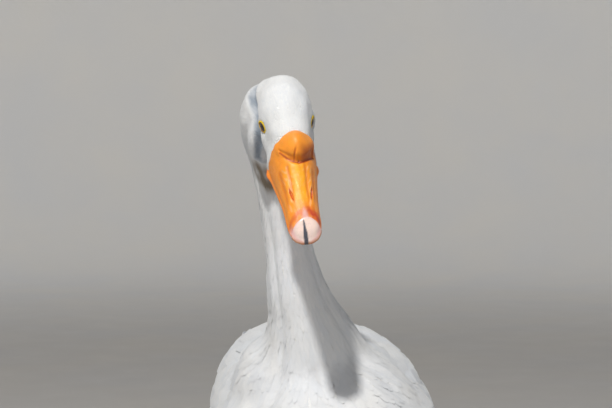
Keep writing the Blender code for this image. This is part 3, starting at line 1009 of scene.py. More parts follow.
def folds(points):
    """Depth from 0 to 1 of the narrow grooves that run down the neck and fade over the breast."""
    line, heading, stage = stream()
    step = 4
    reach = np.linalg.norm(points[:, None, :] - line[None, ::step], axis=2)
    near = reach.argmin(axis=1) * step
    ahead = heading[near]
    out = points - line[near]
    right = unit(np.cross(ahead, (0.0, 1.0, 0.0)) + 1e-9)
    back = np.cross(right, ahead)
    angle = np.arctan2((out * right).sum(axis=1), (out * back).sum(axis=1))
    front = ramp(-out[:, 1], 0.0, 0.03)
    phase = 8 * angle + (1.3 - 0.9 * front) * ripple(points, 0.16, 3)
    groove = (1 - np.abs(np.sin(phase / 2))) ** 1.5
    return groove * ramp(stage[near], 1.05, 1.6) * (1 - ramp(stage[near], 2.35, 2.8))


def hollows(points, width=3.8, behind=0.0):
    """Depth from 0 to 1 of the hollows between face and cheek, or of a band so many mm behind them."""
    x, y, z = to_head(points).T
    place = np.stack([y, z], axis=1) + behind
    reach = np.full(len(place), np.inf)
    for low, high in zip(HOLLOW, HOLLOW[1:]):
        away, run = place - np.array(low), np.array(high) - np.array(low)
        share = np.clip(away @ run / (run @ run), 0, 1)
        reach = np.minimum(reach, np.linalg.norm(away - share[:, None] * run, axis=1))
    aside = ramp(np.abs(x), 9, 17) * (1 - ramp(np.abs(x), 24.5, 28.5))
    return bell(reach, 0, width) * aside * ramp(y, -60, -46) * (1 - ramp(-z, 38, 56))


def painted_hollow_shade(points):
    """Painted blue-grey shade along the hollows behind the eyes, 0 to 1."""
    return 0.85 * hollows(points, 2.9, 2.2)


def round_eyes(points):
    """The skin laid flat round each eye's opening and sunk beneath the ball."""
    local = to_head(points)
    for side in SIDES.values():
        middle, out, ahead, up = eye_frame(side)
        away = local - middle
        height, reach = away @ out, np.hypot(away @ ahead, away @ up)
        near = (reach < EYE_REACH) & (np.abs(height) < 9)
        target = np.interp(reach, (0, 4.4, LID_EDGE, EYE_REACH), (-2.2, -1.7, -0.42, -0.1))
        moved = (1 - ramp(reach, LID_EDGE, EYE_REACH)) * (target - height)
        local[near] += out * moved[near][:, None]
    return from_head(local)


def face_shells():
    """What the face has besides the solids."""
    sleeve = [bill_section(*row, more=0.9) for row in blended(BILL, 70) if row[0] < 30.5]
    forehead = ball((0, 14, 3), (17, 19, 14.6))
    sockets = [ball((side * 15.2, 0, 0), (7.0, 7.8, 7.8)) for side in SIDES.values()]
    back = ball((-7, -34, -7), (18, 22, 23))
    right_cheek = ball((-18.5, -14, -28), (13, 15, 25))
    return [in_head(shell) for shell in (lofted(sleeve), forehead, *sockets, back, right_cheek)]


def body_shells():
    """The solids of the flesh, with a rump, a bed under the flight feathers and a cuff at each hock."""
    rump = [
        [Vector((u * half, y, z + v * thick)) + PLACE for u, v in ring_shape(40, 2.4)]
        for y, z, half, thick in blended(RUMP, 16)
    ]
    shells = [*node_shells(FLESH), lofted(rump)]
    for side in SIDES.values():
        bed = [
            [Vector((side * x + u * half, y, top + (v - 1) * 0.6 * half)) + PLACE for u, v in ring_shape(32)]
            for x, y, top, half in blended(BED, 30)
        ]
        shells.append(lofted(bed))
    hip, hock = (Vector(point) for point in THIGH)
    cuff = hock.lerp(hip, CUFF_PLACE)
    for side in SIDES.values():
        shells.append(ball(Vector((side * cuff.x, cuff.y, cuff.z)) + PLACE, CUFF_SIZE))
    for shell in shells:
        for vertex, normal in [(v, v.normal.copy()) for v in shell.verts]:
            vertex.co += normal * OVERLAP
    return shells


def skin():
    """The skin in one piece: (mesh, Ground), grown once and kept."""
    if "skin" not in SHARED:
        sizes = bpy.context.scene.goose_skin
        mesh = grown_together(body_shells() + face_shells(), sizes.grain)
        points = smoothed(mesh, sizes.smoothing)
        sunk = skin_depth(points) + sizes.fold_depth * folds(points) + sizes.hollow_depth * hollows(points)
        points = evened(points - normals_of(mesh) * sunk[:, None], edges_of(mesh), 3)
        place_vertices(mesh, round_eyes(points))
        SHARED["skin"] = mesh, Ground(mesh)
    return SHARED["skin"]


def unwrap(piece):
    """An unwrap of the skin's own shape, which the coat's patches are laid out on."""
    bpy.ops.object.select_all(action="DESELECT")
    bpy.context.view_layer.objects.active = piece
    piece.select_set(True)
    piece.data.uv_layers.new(name="OFBake")
    bpy.ops.object.mode_set(mode="EDIT")
    bpy.ops.mesh.select_all(action="SELECT")
    bpy.ops.uv.smart_project(angle_limit=math.radians(70), island_margin=0.002)
    bpy.ops.object.mode_set(mode="OBJECT")
    piece.select_set(False)


def unwrap_places(mesh):
    """The unwrap's place of each corner of the skin's triangles."""
    spots = rows_of(mesh.uv_layers["OFBake"].data, "uv", 2)
    mesh.calc_loop_triangles()
    return spots[rows_of(mesh.loop_triangles, "loops", 3, int)]


def soiling(points):
    """Dust on the plumage, 0 to 1: behind the gape, and a few spots on the breast."""
    patchy = 0.55 + 0.45 * ripple(points, 0.012, 11)
    soiled = np.zeros(len(points))
    for x, y, z, size, amount in DIRTY:
        away = np.linalg.norm(points - placed((x, y, z)), axis=1)
        soiled = np.maximum(soiled, amount * np.exp(-((away / size) ** 2)))
    return np.clip(soiled * patchy, 0, 1)


class GOOSE_OT_skin(bpy.types.Operator):
    """Skin under the feathers, one piece from the face to the thighs"""

    bl_idname = "goose.skin"
    bl_label = "Skin"

    def execute(self, context):
        mesh, ground = skin()
        coat = context.scene.goose_coat
        finish_of_skin = finish(
            "Skin",
            coat.white,
            0.7,
            # the second layer is painted shade along the hollows behind the eyes
            layers=(("soil", coat.soiled), ("painted_hollow_shade", coat.painted_shade_colour)),
            mottle=(0.05, 60.0),
            bumps=(("cells", 320.0, 0.0003), ("fine", 700.0, 0.0002)),
            Subsurface_Weight=0.1,
            Subsurface_Radius=(0.004, 0.0035, 0.003),
        )
        mark(mesh, "soil", soiling(ground.points))
        # painted shade: blue-grey along the hollows behind the eyes
        mark(mesh, "painted_hollow_shade", painted_hollow_shade(ground.points))
        piece = add("skin", mesh, finish_of_skin)
        unwrap(piece)
        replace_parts(piece, *FLESH)
        return {"FINISHED"}


# Outlines of a vane's cross section, anticlockwise: (share of the half width, share of the thickness).
SECTIONS = {
    3: ((-1.0, 0.0), (1.0, 0.0), (0.0, 1.0)),
    4: ((-1.0, 0.0), (0.0, -0.4), (1.0, 0.0), (0.0, 0.7)),
    8: (
        (-1.0, -0.45),
        (-0.5, -0.30),
        (0.0, -0.50),
        (0.5, -0.30),
        (1.0, -0.45),
        (0.5, 0.25),
        (0.0, 0.75),
        (-0.5, 0.25),
    ),
}

# Half width along a vane, root to tip: (share of the length, share of the half width).
OUTLINES = {
    "lock": ((0.0, 0.35), (0.5, 1.0), (1.0, 0.25)),
    "point": ((0.0, 0.4), (0.4, 0.95), (0.78, 0.9), (1.0, 0.22)),
    "round": ((0.0, 0.4), (0.35, 0.85), (0.68, 1.0), (0.9, 0.78), (1.0, 0.26)),
    "blade": (
        (0.0, 0.30),
        (0.15, 0.62),
        (0.40, 0.90),
        (0.65, 1.00),
        (0.82, 0.94),
        (0.92, 0.74),
        (0.98, 0.42),
        (1.0, 0.14),
    ),
}


def stations_of(outline):
    """Shares of a vane's length that its outline is given at."""
    return np.array([row[0] for row in OUTLINES[outline]])


def walked(ground, roots, headings, lengths, shares):
    """Paths laid over the ground: points, normals and ways, each (count, stations, 3)."""
    point, normal, _ = ground.nearest(roots)
    way = along_surface(headings, normal)
    points, normals, ways = [point], [normal], [way]
    for low, high in zip(shares, shares[1:]):
        step = ((high - low) * lengths)[:, None]
        following, normal, _ = ground.nearest(point + way * step)
        way = along_surface(unit(following - point) + 0.4 * way, normal)
        point = point + unit(following - point) * step
        points.append(point)
        normals.append(normal)
        ways.append(way)
    return np.stack(points, 1), np.stack(normals, 1), np.stack(ways, 1)


def vanes(paths, outline, section, half_width, thickness, heights, camber):
    """Closed vanes along paths, as arrays of their parts.

    Heights are those over the ground at each station, and camber lowers the edges by a share of the width.
    """
    points, normals, ways = paths
    shares, widths = (np.array(row) for row in zip(*OUTLINES[outline]))
    shape = np.array(SECTIONS[section])
    across = unit(np.cross(ways, normals))
    count, stations = points.shape[:2]
    spread = half_width[:, None] * widths[None]
    thick = thickness[:, None] * np.linspace(1.0, 0.55, stations)[None]
    made = np.empty((count, stations, section, 3))
    for k, (u, v) in enumerate(shape):
        rise = heights + thick * v - camber * spread * u * u
        made[:, :, k] = points + across * (spread * u)[..., None] + normals * rise[..., None]
    first = (np.arange(count) * stations * section)[:, None, None]
    ring = (np.arange(stations - 1) * section)[None, :, None]
    k = np.arange(section)[None, None, :]
    n = (k + 1) % section
    low, high = first + ring, first + ring + section
    quads = np.stack([low + k, high + k, high + n, low + n], axis=-1).reshape(-1, 4)
    starts = first[:, 0, :] + np.arange(section)[None]
    ends = first[:, 0, :] + (stations - 1) * section + np.arange(section)[None, ::-1]
    along = np.broadcast_to(shares[None, :, None], (count, stations, section))
    aside = np.broadcast_to(shape[None, None, :, 0] * widths[None, :, None], (count, stations, section))
    grounds = np.broadcast_to(normals[:, :, None, :], made.shape)
    return {
        "vertices": made.reshape(-1, 3),
        "quads": quads,
        "caps": np.concatenate([starts, ends]),
        "normals": grounds.reshape(-1, 3),
        "along": along.ravel(),
        "aside": aside.ravel(),
        "each": np.repeat(np.arange(count), stations * section),
    }


BARB_SLANT = 0.9  # how far the barbs' grooves run towards the tip for each width outwards
PATCH = 0.0015  # half the size of a feather's patch on the unwrap


class Plumes:
    """Vanes of several kinds gathered into one piece."""

    def __init__(self):
        self.parts = []

    def lay(self, made, lengths, half_widths, spots, shade, softness, depth, soil=0.0):
        """Keeps vanes with what the finish and the maps need of each.

        Softness turns their shading to that of the ground, and depth paints shade on them towards their
        roots, where the vanes over them cover them.
        """
        each = made["each"]
        reach = made["along"] * lengths[each] * 1000
        breadth = made["aside"] * half_widths[each] * 1000
        made["vane"] = np.stack([(reach - BARB_SLANT * np.abs(breadth)) / 10, breadth / 10], axis=1)
        patch = np.stack([made["aside"], made["along"] * 2 - 1], axis=1) * PATCH
        made["bake"] = spots[each] + patch
        made["softness"] = np.full(len(each), softness)
        # painted shade: blue-grey deepening towards each vane's root, under the vanes that overlap it; the
        # random shade per feather is its own tone
        made["shade"] = shade[each] + depth * (1 - ramp(made["along"], 0.45, 1.0))
        made["soil"] = np.broadcast_to(soil, len(each))
        self.parts.append(made)

    def piece(self, name, material):
        """All the vanes as one mesh, linked as a piece of the plumage."""
        starts = np.cumsum([0] + [len(part["vertices"]) for part in self.parts])

        def whole(key):
            return np.concatenate([part[key] for part in self.parts])

        vertices = whole("vertices")
        corners, totals = [], []
        for start, part in zip(starts, self.parts):
            for key in ("quads", "caps"):
                corners.append((part[key] + start).ravel())
                totals.append(np.full(len(part[key]), part[key].shape[1]))
        corners, totals = np.concatenate(corners), np.concatenate(totals)
        mesh = bpy.data.meshes.new(name)
        mesh.vertices.add(len(vertices))
        mesh.loops.add(len(corners))
        mesh.polygons.add(len(totals))
        mesh.vertices.foreach_set("co", vertices.astype(np.float32).ravel())
        mesh.loops.foreach_set("vertex_index", corners)
        mesh.polygons.foreach_set("loop_start", np.concatenate([[0], np.cumsum(totals)[:-1]]))
        mesh.polygons.foreach_set("loop_total", totals)
        shaded_smooth(mesh)
        mesh.update(calc_edges=True)
        for layer, key in (("OFBake", "bake"), ("Vane", "vane")):
            uv = mesh.uv_layers.new(name=layer)
            uv.data.foreach_set("uv", whole(key)[corners].astype(np.float32).ravel())
        mark(mesh, "shade", whole("shade"))
        mark(mesh, "soil", whole("soil"))
        # painted shade: blue-grey along the hollows behind the eyes
        mark(mesh, "painted_hollow_shade", painted_hollow_shade(vertices))
        self.turn_shading(mesh, corners, totals, whole("normals"), whole("softness"))
        return add(name, mesh, material)

    def turn_shading(self, mesh, corners, totals, grounds, softness):
        """Shades the vanes' upper and lower faces apart, each turned towards the ground's way."""
        facing = np.repeat(rows_of(mesh.polygon_normals, "vector", 3), totals, axis=0)
        grounds, share = grounds[corners], softness[corners][:, None]
        upright = (facing * grounds).sum(axis=1)
        under = upright < 0
        key = corners * 2 + under
        smooth = [np.bincount(key, weights=facing[:, k], minlength=2 * len(softness))[key] for k in range(3)]
        smooth = unit(np.stack(smooth, axis=1))
        turned = unit(share * grounds * np.where(under, -1, 1)[:, None] + (1 - share) * smooth)
        edgewise = np.abs(upright) < 0.2
        turned = np.where(edgewise[:, None], facing, turned)
        mesh.normals_split_custom_set(turned.tolist())


def scattered(ground, spacing_of, keep, rng):
    """Roots spread evenly over the ground, spacing_of(points) apart: (points, faces, shares)."""
    crowding = 2.6  # roots tried for each square of the spacing
    areas = ground.areas()
    middles = ground.points[ground.corners].mean(axis=1)
    wanted = areas * crowding / spacing_of(middles) ** 2 * keep(middles)
    face = np.repeat(np.arange(len(areas)), rng.poisson(wanted))
    shares = rng.dirichlet((1, 1, 1), len(face))
    points = ground.on_faces(face, shares)
    reach = spacing_of(points)
    tree = KDTree(len(points))
    for i, point in enumerate(points.tolist()):
        tree.insert(point, i)
    tree.balance()
    waiting = np.ones(len(points), bool)
    kept = []
    for i in rng.permutation(len(points)).tolist():
        if waiting[i]:
            kept.append(i)
            for _, j, _ in tree.find_range(points[i], reach[i]):
                waiting[j] = False
    kept = np.array(sorted(kept), int)
    return points[kept], face[kept], shares[kept]


def bare(points):
    """Whether points lie where no feather grows: on the bill, in its knob, or at the eyes and their lids."""
    local = to_head(points)
    x, y, z = local.T
    edge = 29.0 + 0.7 * ripple(local, 7.0, 4)
    width, lean = knob_taper(z)
    wide = (x - KNOB_CENTRE[0] - lean) / width
    size = np.array(KNOB_SIZE) + 0.2
    deep = y + KNOB_SWEEP * wide**2 - KNOB_CENTRE[1]
    away = (np.stack([wide, deep, z - KNOB_CENTRE[2]], axis=1) / size) ** 2
    in_knob = (away.sum(axis=1) < 1) & (y + 0.8 * ripple(local, 6.0, 9) > 22.5)
    bald = (y > edge) | in_knob
    for side in SIDES.values():
        middle, out, ahead, up = eye_frame(side)
        reach = local - middle
        bald |= (np.hypot(reach @ ahead / 5.3, reach @ up / 4.9) < 1) & (np.abs(reach @ out) < 6)
    return bald & (z > -50)


def coat_value(stages, column):
    return np.interp(stages, COAT[:, 0], COAT[:, column]) / 1000


RUMP_START, COAT_END = 0.15, 0.316  # Y where the rump starts, and where the body's feathers have to end
SHORTEST = 0.008  # metres that a feather of the body needs ahead of its root


def room_ahead(points):
    """How long a feather may be before it runs off the end of a thigh or of the rump."""
    y, z = (points[:, k] - PLACE[k] for k in (1, 2))
    hock = THIGH[1][2] - 0.002
    down = np.where(on_thigh(points) > 0.4, (z - hock) / -THIGH_HEADING[2], 1.0)
    back = np.where(y > RUMP_START, COAT_END - y, 1.0)
    return np.minimum(down, back)


def contour(name, low, high, outline, section, softness, seed, covered=None):
    """One piece of the body's own feathers, for the stages from low to high, except where it is covered."""
    coat = bpy.context.scene.goose_coat
    mesh, ground = skin()
    if "spots" not in SHARED:
        SHARED["spots"] = unwrap_places(mesh)
    rng = np.random.default_rng(coat.seed * 100 + seed)

    def spacing(points):
        return coat_value(follow(points)[1], 1)

    def keep(points):
        stages = follow(points)[1]
        seen = (stages >= low) & (stages < high) & ~bare(points) & (room_ahead(points) > SHORTEST)
        return seen & ~covered(points) if covered else seen

    roots, face, shares = scattered(ground, spacing, keep, rng)
    seen = keep(roots)
    roots, face, shares = roots[seen], face[seen], shares[seen]
    headings, stages = follow(roots)
    count = len(roots)
    vary = coat.unevenness
    length = coat_value(stages, 2) * (1 + vary * rng.uniform(-0.16, 0.16, count))
    length = np.minimum(length, room_ahead(roots))
    half = coat_value(stages, 3) * (1 + vary * rng.uniform(-0.15, 0.15, count))
    lift = coat_value(stages, 4) * (1 + vary * rng.uniform(-0.22, 0.30, count))
    thick = coat_value(stages, 5)
    normals = ground.normals_on(face, roots)
    side = np.cross(headings, normals)
    headings = headings + side * (vary * rng.normal(0, 0.075, count))[:, None]
    stations = stations_of(outline)
    paths = walked(ground, roots, headings, length, stations)
    heights = lift[:, None] * (stations * 1.15 - 0.15)[None]
    made = vanes(paths, outline, section, half, thick, heights, camber=0.10)
    spots = (SHARED["spots"][face] * shares[:, :, None]).sum(axis=1)
    shade = np.clip(rng.normal(0.10, 0.08, count), 0, 1)
    plumes = Plumes()
    plumes.lay(made, length, half, spots, shade, softness, depth=0.06, soil=soiling(made["vertices"]))
    plumes.piece(name, plumage("Contour feathers"))


class GOOSE_OT_head_feathers(bpy.types.Operator):
    """Short velvety feathers of the face, crown and cheeks"""

    bl_idname = "goose.head_feathers"
    bl_label = "Head feathers"

    def execute(self, context):
        contour("head_feathers", -1, 1.0, "lock", section=3, softness=0.85, seed=1)
        return {"FINISHED"}


class GOOSE_OT_neck_feathers(bpy.types.Operator):
    """Narrow feathers down the neck, in folds"""

    bl_idname = "goose.neck_feathers"
    bl_label = "Neck feathers"

    def execute(self, context):
        contour("neck_feathers", 1.0, 2.15, "point", section=3, softness=0.95, seed=2)
        return {"FINISHED"}


class GOOSE_OT_body_feathers(bpy.types.Operator):
    """Broad feathers of the breast, back, belly and thighs"""

    bl_idname = "goose.body_feathers"
    bl_label = "Body feathers"

    def execute(self, context):
        contour("breast_feathers", 2.15, 2.8, "round", section=4, softness=0.95, seed=3, covered=over_wing)
        contour("body_feathers", 2.8, 9, "round", section=4, softness=0.84, seed=4, covered=over_wing)
        return {"FINISHED"}


WING_MIDDLE = (0.020, 0.318)  # Y and Z of the folded wing's middle
WING_REACH = (0.200, 0.070)  # its half length and half height
WING_RISE = math.radians(5)

# Rows of wing feathers from the tail end to the wrist, so that each row overlaps the one before it:
# (outline, place along the wing of the roots from -1 to 1, lowest and highest root from -1 to 1, count,
# length, half width, lift of the tip, slant of the row along the wing, degrees that its lowest and its
# highest feather point up).
WING_ROWS = (
    ("blade", 0.46, -0.55, 0.55, 6, 0.112, 0.0150, 0.0016, 0.16, 1, 4),
    ("blade", 0.28, -0.70, 0.62, 8, 0.112, 0.0145, 0.0017, 0.16, -1, 4),
    ("blade", 0.10, -0.84, 0.70, 9, 0.106, 0.0140, 0.0018, 0.15, -3, 3),
    ("blade", -0.08, -0.92, 0.76, 11, 0.082, 0.0130, 0.0018, 0.14, -5, 3),
    ("blade", -0.22, -0.94, 0.80, 12, 0.060, 0.0120, 0.0017, 0.13, -7, 2),
    ("round", -0.33, -0.94, 0.82, 13, 0.048, 0.0108, 0.0016, 0.12, -10, 2),
    ("round", -0.43, -0.92, 0.84, 14, 0.041, 0.0100, 0.0015, 0.11, -12, 1),
    ("round", -0.52, -0.90, 0.84, 14, 0.036, 0.0092, 0.0014, 0.10, -15, 0),
    ("round", -0.60, -0.86, 0.82, 14, 0.032, 0.0086, 0.0013, 0.09, -18, -2),
)

# Long feathers that fall from the shoulder over the wing's upper edge, in the same terms.
SHOULDER_ROWS = (
    ("blade", 0.34, 0.55, 0.95, 4, 0.118, 0.0160, 0.0022, 0.10, 2, 3),
    ("blade", 0.14, 0.62, 1.04, 5, 0.116, 0.0160, 0.0025, 0.10, -2, 1),
    ("blade", -0.06, 0.70, 1.16, 5, 0.094, 0.0152, 0.0027, 0.10, -6, -2),
    ("round", -0.24, 0.76, 1.20, 6, 0.072, 0.0140, 0.0028, 0.08, -9, -4),
    ("round", -0.40, 0.80, 1.22, 6, 0.056, 0.0124, 0.0026, 0.06, -12, -6),
    ("round", -0.54, 0.82, 1.20, 6, 0.046, 0.0110, 0.0022, 0.04, -14, -8),
)

QUILL_COUNT = 7  # flight feathers to be seen on each side

# The folded flight feathers' line over the rump: (X, Y, Z).
QUILLS = (
    (0.0440, 0.130, 0.350),
    (0.0360, 0.180, 0.365),
    (0.0310, 0.225, 0.367),
    (0.0260, 0.270, 0.366),
    (0.0210, 0.315, 0.363),
    (0.0150, 0.355, 0.358),
)

# The rump, which the tail's feathers grow from: (Y, Z, half width, half thickness).
RUMP = (
    (0.235, 0.305, 0.028, 0.032),
    (0.262, 0.309, 0.034, 0.025),
    (0.285, 0.314, 0.036, 0.017),
    (0.306, 0.3185, 0.031, 0.007),
)
TAIL_ROOT = (0.0, 0.262, 0.3125)  # the middle of the tail feathers' roots

# The tail's feathers, then the rows that cover their roots: (outline, 1 above or -1 beneath, count, spread
# in degrees, length, half width, height off the tail's middle, tilt, how far behind its root they start).
FANS = (
    ("blade", 1, 16, 19, 0.126, 0.0105, 0.003, 0.0, 0.0),
    ("round", 1, 9, 17, 0.072, 0.0130, 0.010, -0.06, 0.0),
    ("round", 1, 7, 15, 0.058, 0.0130, 0.017, -0.10, -0.020),
    ("round", -1, 9, 17, 0.078, 0.0130, 0.008, 0.06, 0.0),
    ("round", -1, 8, 15, 0.064, 0.0135, 0.016, 0.14, -0.016),
    ("round", -1, 7, 13, 0.056, 0.0135, 0.024, 0.22, -0.034),
)


def over_wing(points):
    """Whether points lie where the wing's own feathers cover the body."""
    y, z = (points[:, k] - PLACE[k] for k in (1, 2))
    cos, sin = math.cos(WING_RISE), math.sin(WING_RISE)
    along = (y - WING_MIDDLE[0]) * cos + (z - WING_MIDDLE[1]) * sin
    up = (z - WING_MIDDLE[1]) * cos - (y - WING_MIDDLE[0]) * sin
    u, v = along / WING_REACH[0], up / WING_REACH[1]
    aside = np.abs(points[:, 0] - PLACE[0])
    wing = ((u / 0.97) ** 2 + (v / 0.98) ** 2 < 1) & (u > -0.50) & (aside > 0.035)
    shoulder = (u > -0.40) & (u < 0.75) & (v > 0) & (v < 1.15) & (aside > 0.040)
    line = np.array(QUILLS)
    under_quills = np.abs(aside - np.interp(y, line[:, 1], line[:, 0])) < 0.015
    under_quills &= (y > 0.180) & (z > np.interp(y, line[:, 1], line[:, 2]) - 0.014)
    return wing | shoulder | under_quills


def on_wing(ground, side, u, v):
    """Points of the skin at places along and up the folded wing, seen from the side."""
    cos, sin = math.cos(WING_RISE), math.sin(WING_RISE)
    y = WING_MIDDLE[0] + WING_REACH[0] * u * cos - WING_REACH[1] * v * sin
    z = WING_MIDDLE[1] + WING_REACH[0] * u * sin + WING_REACH[1] * v * cos
    made = []
    for b, c in zip(y + PLACE[1], z + PLACE[2]):
        hit = ground.tree.ray_cast(Vector((side * 0.3 + PLACE[0], b, c)), Vector((-side, 0, 0)))[0]
        made.append(hit or ground.tree.find_nearest(Vector((side * 0.035 + PLACE[0], b, c - 0.02)))[0])
    return np.array(made)


def spots_of(ground, points):
    """The unwrap's place of the nearest skin."""
    where, _, face = ground.nearest(points)
    corners = ground.points[ground.corners[face]]
    reach = 1 / (np.linalg.norm(corners - where[:, None, :], axis=2) + 1e-5)
    weight = reach / reach.sum(axis=1, keepdims=True)
    return (SHARED["spots"][face] * weight[:, :, None]).sum(axis=1)


def lay_rows(plumes, rows, side, rng):
    """Rows of big feathers over the folded wing."""
    ground = skin()[1]
    vary = bpy.context.scene.goose_coat.unevenness
    for i, (outline, start, low, high, count, length, half, lift, slant, dip, rise) in enumerate(rows):
        stagger = (i % 2 - 0.5) * 0.5 * (high - low) / count
        v = np.linspace(low, high, count) + stagger
        u = start + slant * (v - low) / (high - low) - slant / 2
        u = u + vary * rng.normal(0, 0.012, count)
        v = v + vary * rng.normal(0, 0.10, count) * (high - low) / count
        roots = on_wing(ground, side, u, v)
        angle = np.radians(np.linspace(dip, rise, count)) + vary * rng.normal(0, 0.035, count)
        headings = np.stack([np.zeros(count), np.cos(angle), np.sin(angle)], axis=1)
        lengths = length * (1 + vary * rng.normal(0, 0.05, count))
        halves = half * (1 + vary * rng.normal(0, 0.03, count))
        stations = stations_of(outline)
        paths = walked(ground, roots, headings, lengths, stations)
        lifts = lift * (1 + vary * rng.uniform(-0.12, 0.15, count))
        heights = lifts[:, None] * (stations * 1.1 - 0.1)[None]
        heights = heights + 0.0004 + 0.0005 * np.linspace(0, 1, count)[:, None]
        heights = heights - 0.0022 * (1 - ramp(stations, 0.0, 0.22))[None]
        made = vanes(paths, outline, 8, halves, np.full(count, 0.00050), heights, camber=0.12)
        shade = np.clip(rng.normal(0.10, 0.07, count), 0, 1)
        softness = np.interp(start, (-0.40, -0.05), (0.88, 0.55))
        plumes.lay(made, lengths, halves, spots_of(ground, roots), shade, softness, depth=0.30)


def lay_single(plumes, outline, path, up, way, root, length, half, thick, camber, shade, depth):
    """One big feather along a path of its own, its patch at its root."""
    ups, ways = (np.broadcast_to(v, path.shape)[None] for v in (up, way))
    half = np.array([half])
    made = vanes((path[None], ups, ways), outline, 8, half, np.array([thick]), 0.0, camber)
    spot = spots_of(skin()[1], root[None])
    plumes.lay(made, np.array([length]), half, spot, np.array([shade]), softness=0.0, depth=depth)


def lay_quills(plumes, side, rng):
    """The folded flight feathers, a stack of blades over the rump."""
    stations = stations_of("blade")
    up = unit(np.array((side * 0.62, -0.05, 0.78)))
    line = blended(QUILLS, 60)
    for k in range(QUILL_COUNT):
        start, end = 0.02 * k, 1.0 - 0.062 * k
        at = (start + (end - start) * stations) * (len(line) - 1)
        low = np.minimum(at.astype(int), len(line) - 2)
        path = line[low] + (line[low + 1] - line[low]) * (at - low)[:, None]
        path = placed(path * (side, 1, 1))
        way = unit(np.gradient(path, axis=0))
        across = unit(np.cross(way, up))
        fall = side * (0.0034 * k - 0.0080) * np.linspace(1.5, 0.6, len(stations))
        sunk = 0.0070 * (1 - ramp(path[:, 1] - PLACE[1], 0.155, 0.195))
        path = path + across * fall[:, None] + up * (0.0009 * k - 0.0030 - sunk)[:, None]
        length = np.linalg.norm(np.diff(path, axis=0), axis=1).sum()
        sizes = {"length": length, "half": 0.0102 - 0.0002 * k, "thick": 0.0008, "camber": 0.16}
        shade = 0.08 + 0.03 * rng.random()
        lay_single(plumes, "blade", path, up, way, path[0], **sizes, shade=shade, depth=0.20)


class GOOSE_OT_wings(bpy.types.Operator):
    """Folded wings: coverts, flight feathers and the long shoulder feathers over them"""

    bl_idname = "goose.wings"
    bl_label = "Wings"

    def execute(self, context):
        rng = np.random.default_rng(context.scene.goose_coat.seed * 100 + 20)
        finish_of_wing = plumage("Wing feathers")
        for name, side in SIDES.items():
            for part, rows in (("wing", WING_ROWS), ("shoulder", SHOULDER_ROWS)):
                plumes = Plumes()
                lay_rows(plumes, rows, side, rng)
                plumes.piece(f"{part}_feathers_{name}", finish_of_wing)
            quills = Plumes()
            lay_quills(quills, side, rng)
            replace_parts(quills.piece(f"flight_feathers_{name}", finish_of_wing), f"primaries_{name}")
        return {"FINISHED"}


def lay_fan(plumes, outline, side, count, spread, length, half, height, tilt, back, rng):
    """Feathers that fan out from the rump."""
    stations = stations_of(outline)
    for k in range(count):
        share = (k - (count - 1) / 2) / (count / 2)
        angle = math.radians(spread * share)
        reach = length * (1 - 0.13 * share**2) * (1 + rng.normal(0, 0.02))
        way = unit(np.array((math.sin(angle), math.cos(angle), 0.155 + tilt - 0.03 * share**2)))
        up = unit(np.array((0.22 * share, -0.15 * side, float(side))))
        root = placed(TAIL_ROOT) + np.array((0.020 * share, back, 0))
        sag = 0.006 * stations**2 * (0.4 + share**2) * side
        stack = height - 0.0010 * abs(k - (count - 1) / 2)
        path = root + way * (stations * reach)[:, None] + up * (stack - sag)[:, None]
        sizes = {"length": reach, "half": half, "thick": 0.0006, "camber": 0.12}
        shade = rng.uniform(0.05, 0.18)
        lay_single(plumes, outline, path, up, way, root, **sizes, shade=shade, depth=0.25)


class GOOSE_OT_tail(bpy.types.Operator):
    """Fan of tail feathers, with the shorter ones that cover their roots above and below"""

    bl_idname = "goose.tail"
    bl_label = "Tail"

    def execute(self, context):
        rng = np.random.default_rng(context.scene.goose_coat.seed * 100 + 30)
        plumes = Plumes()
        for row in FANS:
            lay_fan(plumes, *row, rng)
        fan = plumes.piece("tail_feathers", plumage("Wing feathers"))
        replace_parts(fan, "tail")
        return {"FINISHED"}


TOE_JOINT = (0.058, 0.053, 0.0125)  # where the toes meet under the shank
TOE_SCALE, SHANK_SCALE = 0.0042, 0.0048  # metres from one scale to the next


def scutes(points, side):
    """Relief of the scales that run across the toes' tops and down the shank's front, in mm."""
    away = points - placed((side * TOE_JOINT[0], *TOE_JOINT[1:]))
    reach = np.hypot(away[:, 0], away[:, 1])
    over_toes = ramp(points[:, 2], 0.0050, 0.0085) * (1 - ramp(points[:, 2], 0.016, 0.022))
    up_shank = ramp(points[:, 2], 0.020, 0.026) * ramp(-away[:, 1] + 0.006, -0.004, 0.004)
    bands = 0.5 - 0.5 * np.abs(np.sin(reach * math.pi / TOE_SCALE)) ** 0.5
    rings = 0.5 - 0.5 * np.abs(np.sin(points[:, 2] * math.pi / SHANK_SCALE)) ** 0.5
    pebbled = 0.10 * ripple(points, 0.0030, 17)
    return -0.55 * bands * over_toes - 0.45 * rings * up_shank + pebbled


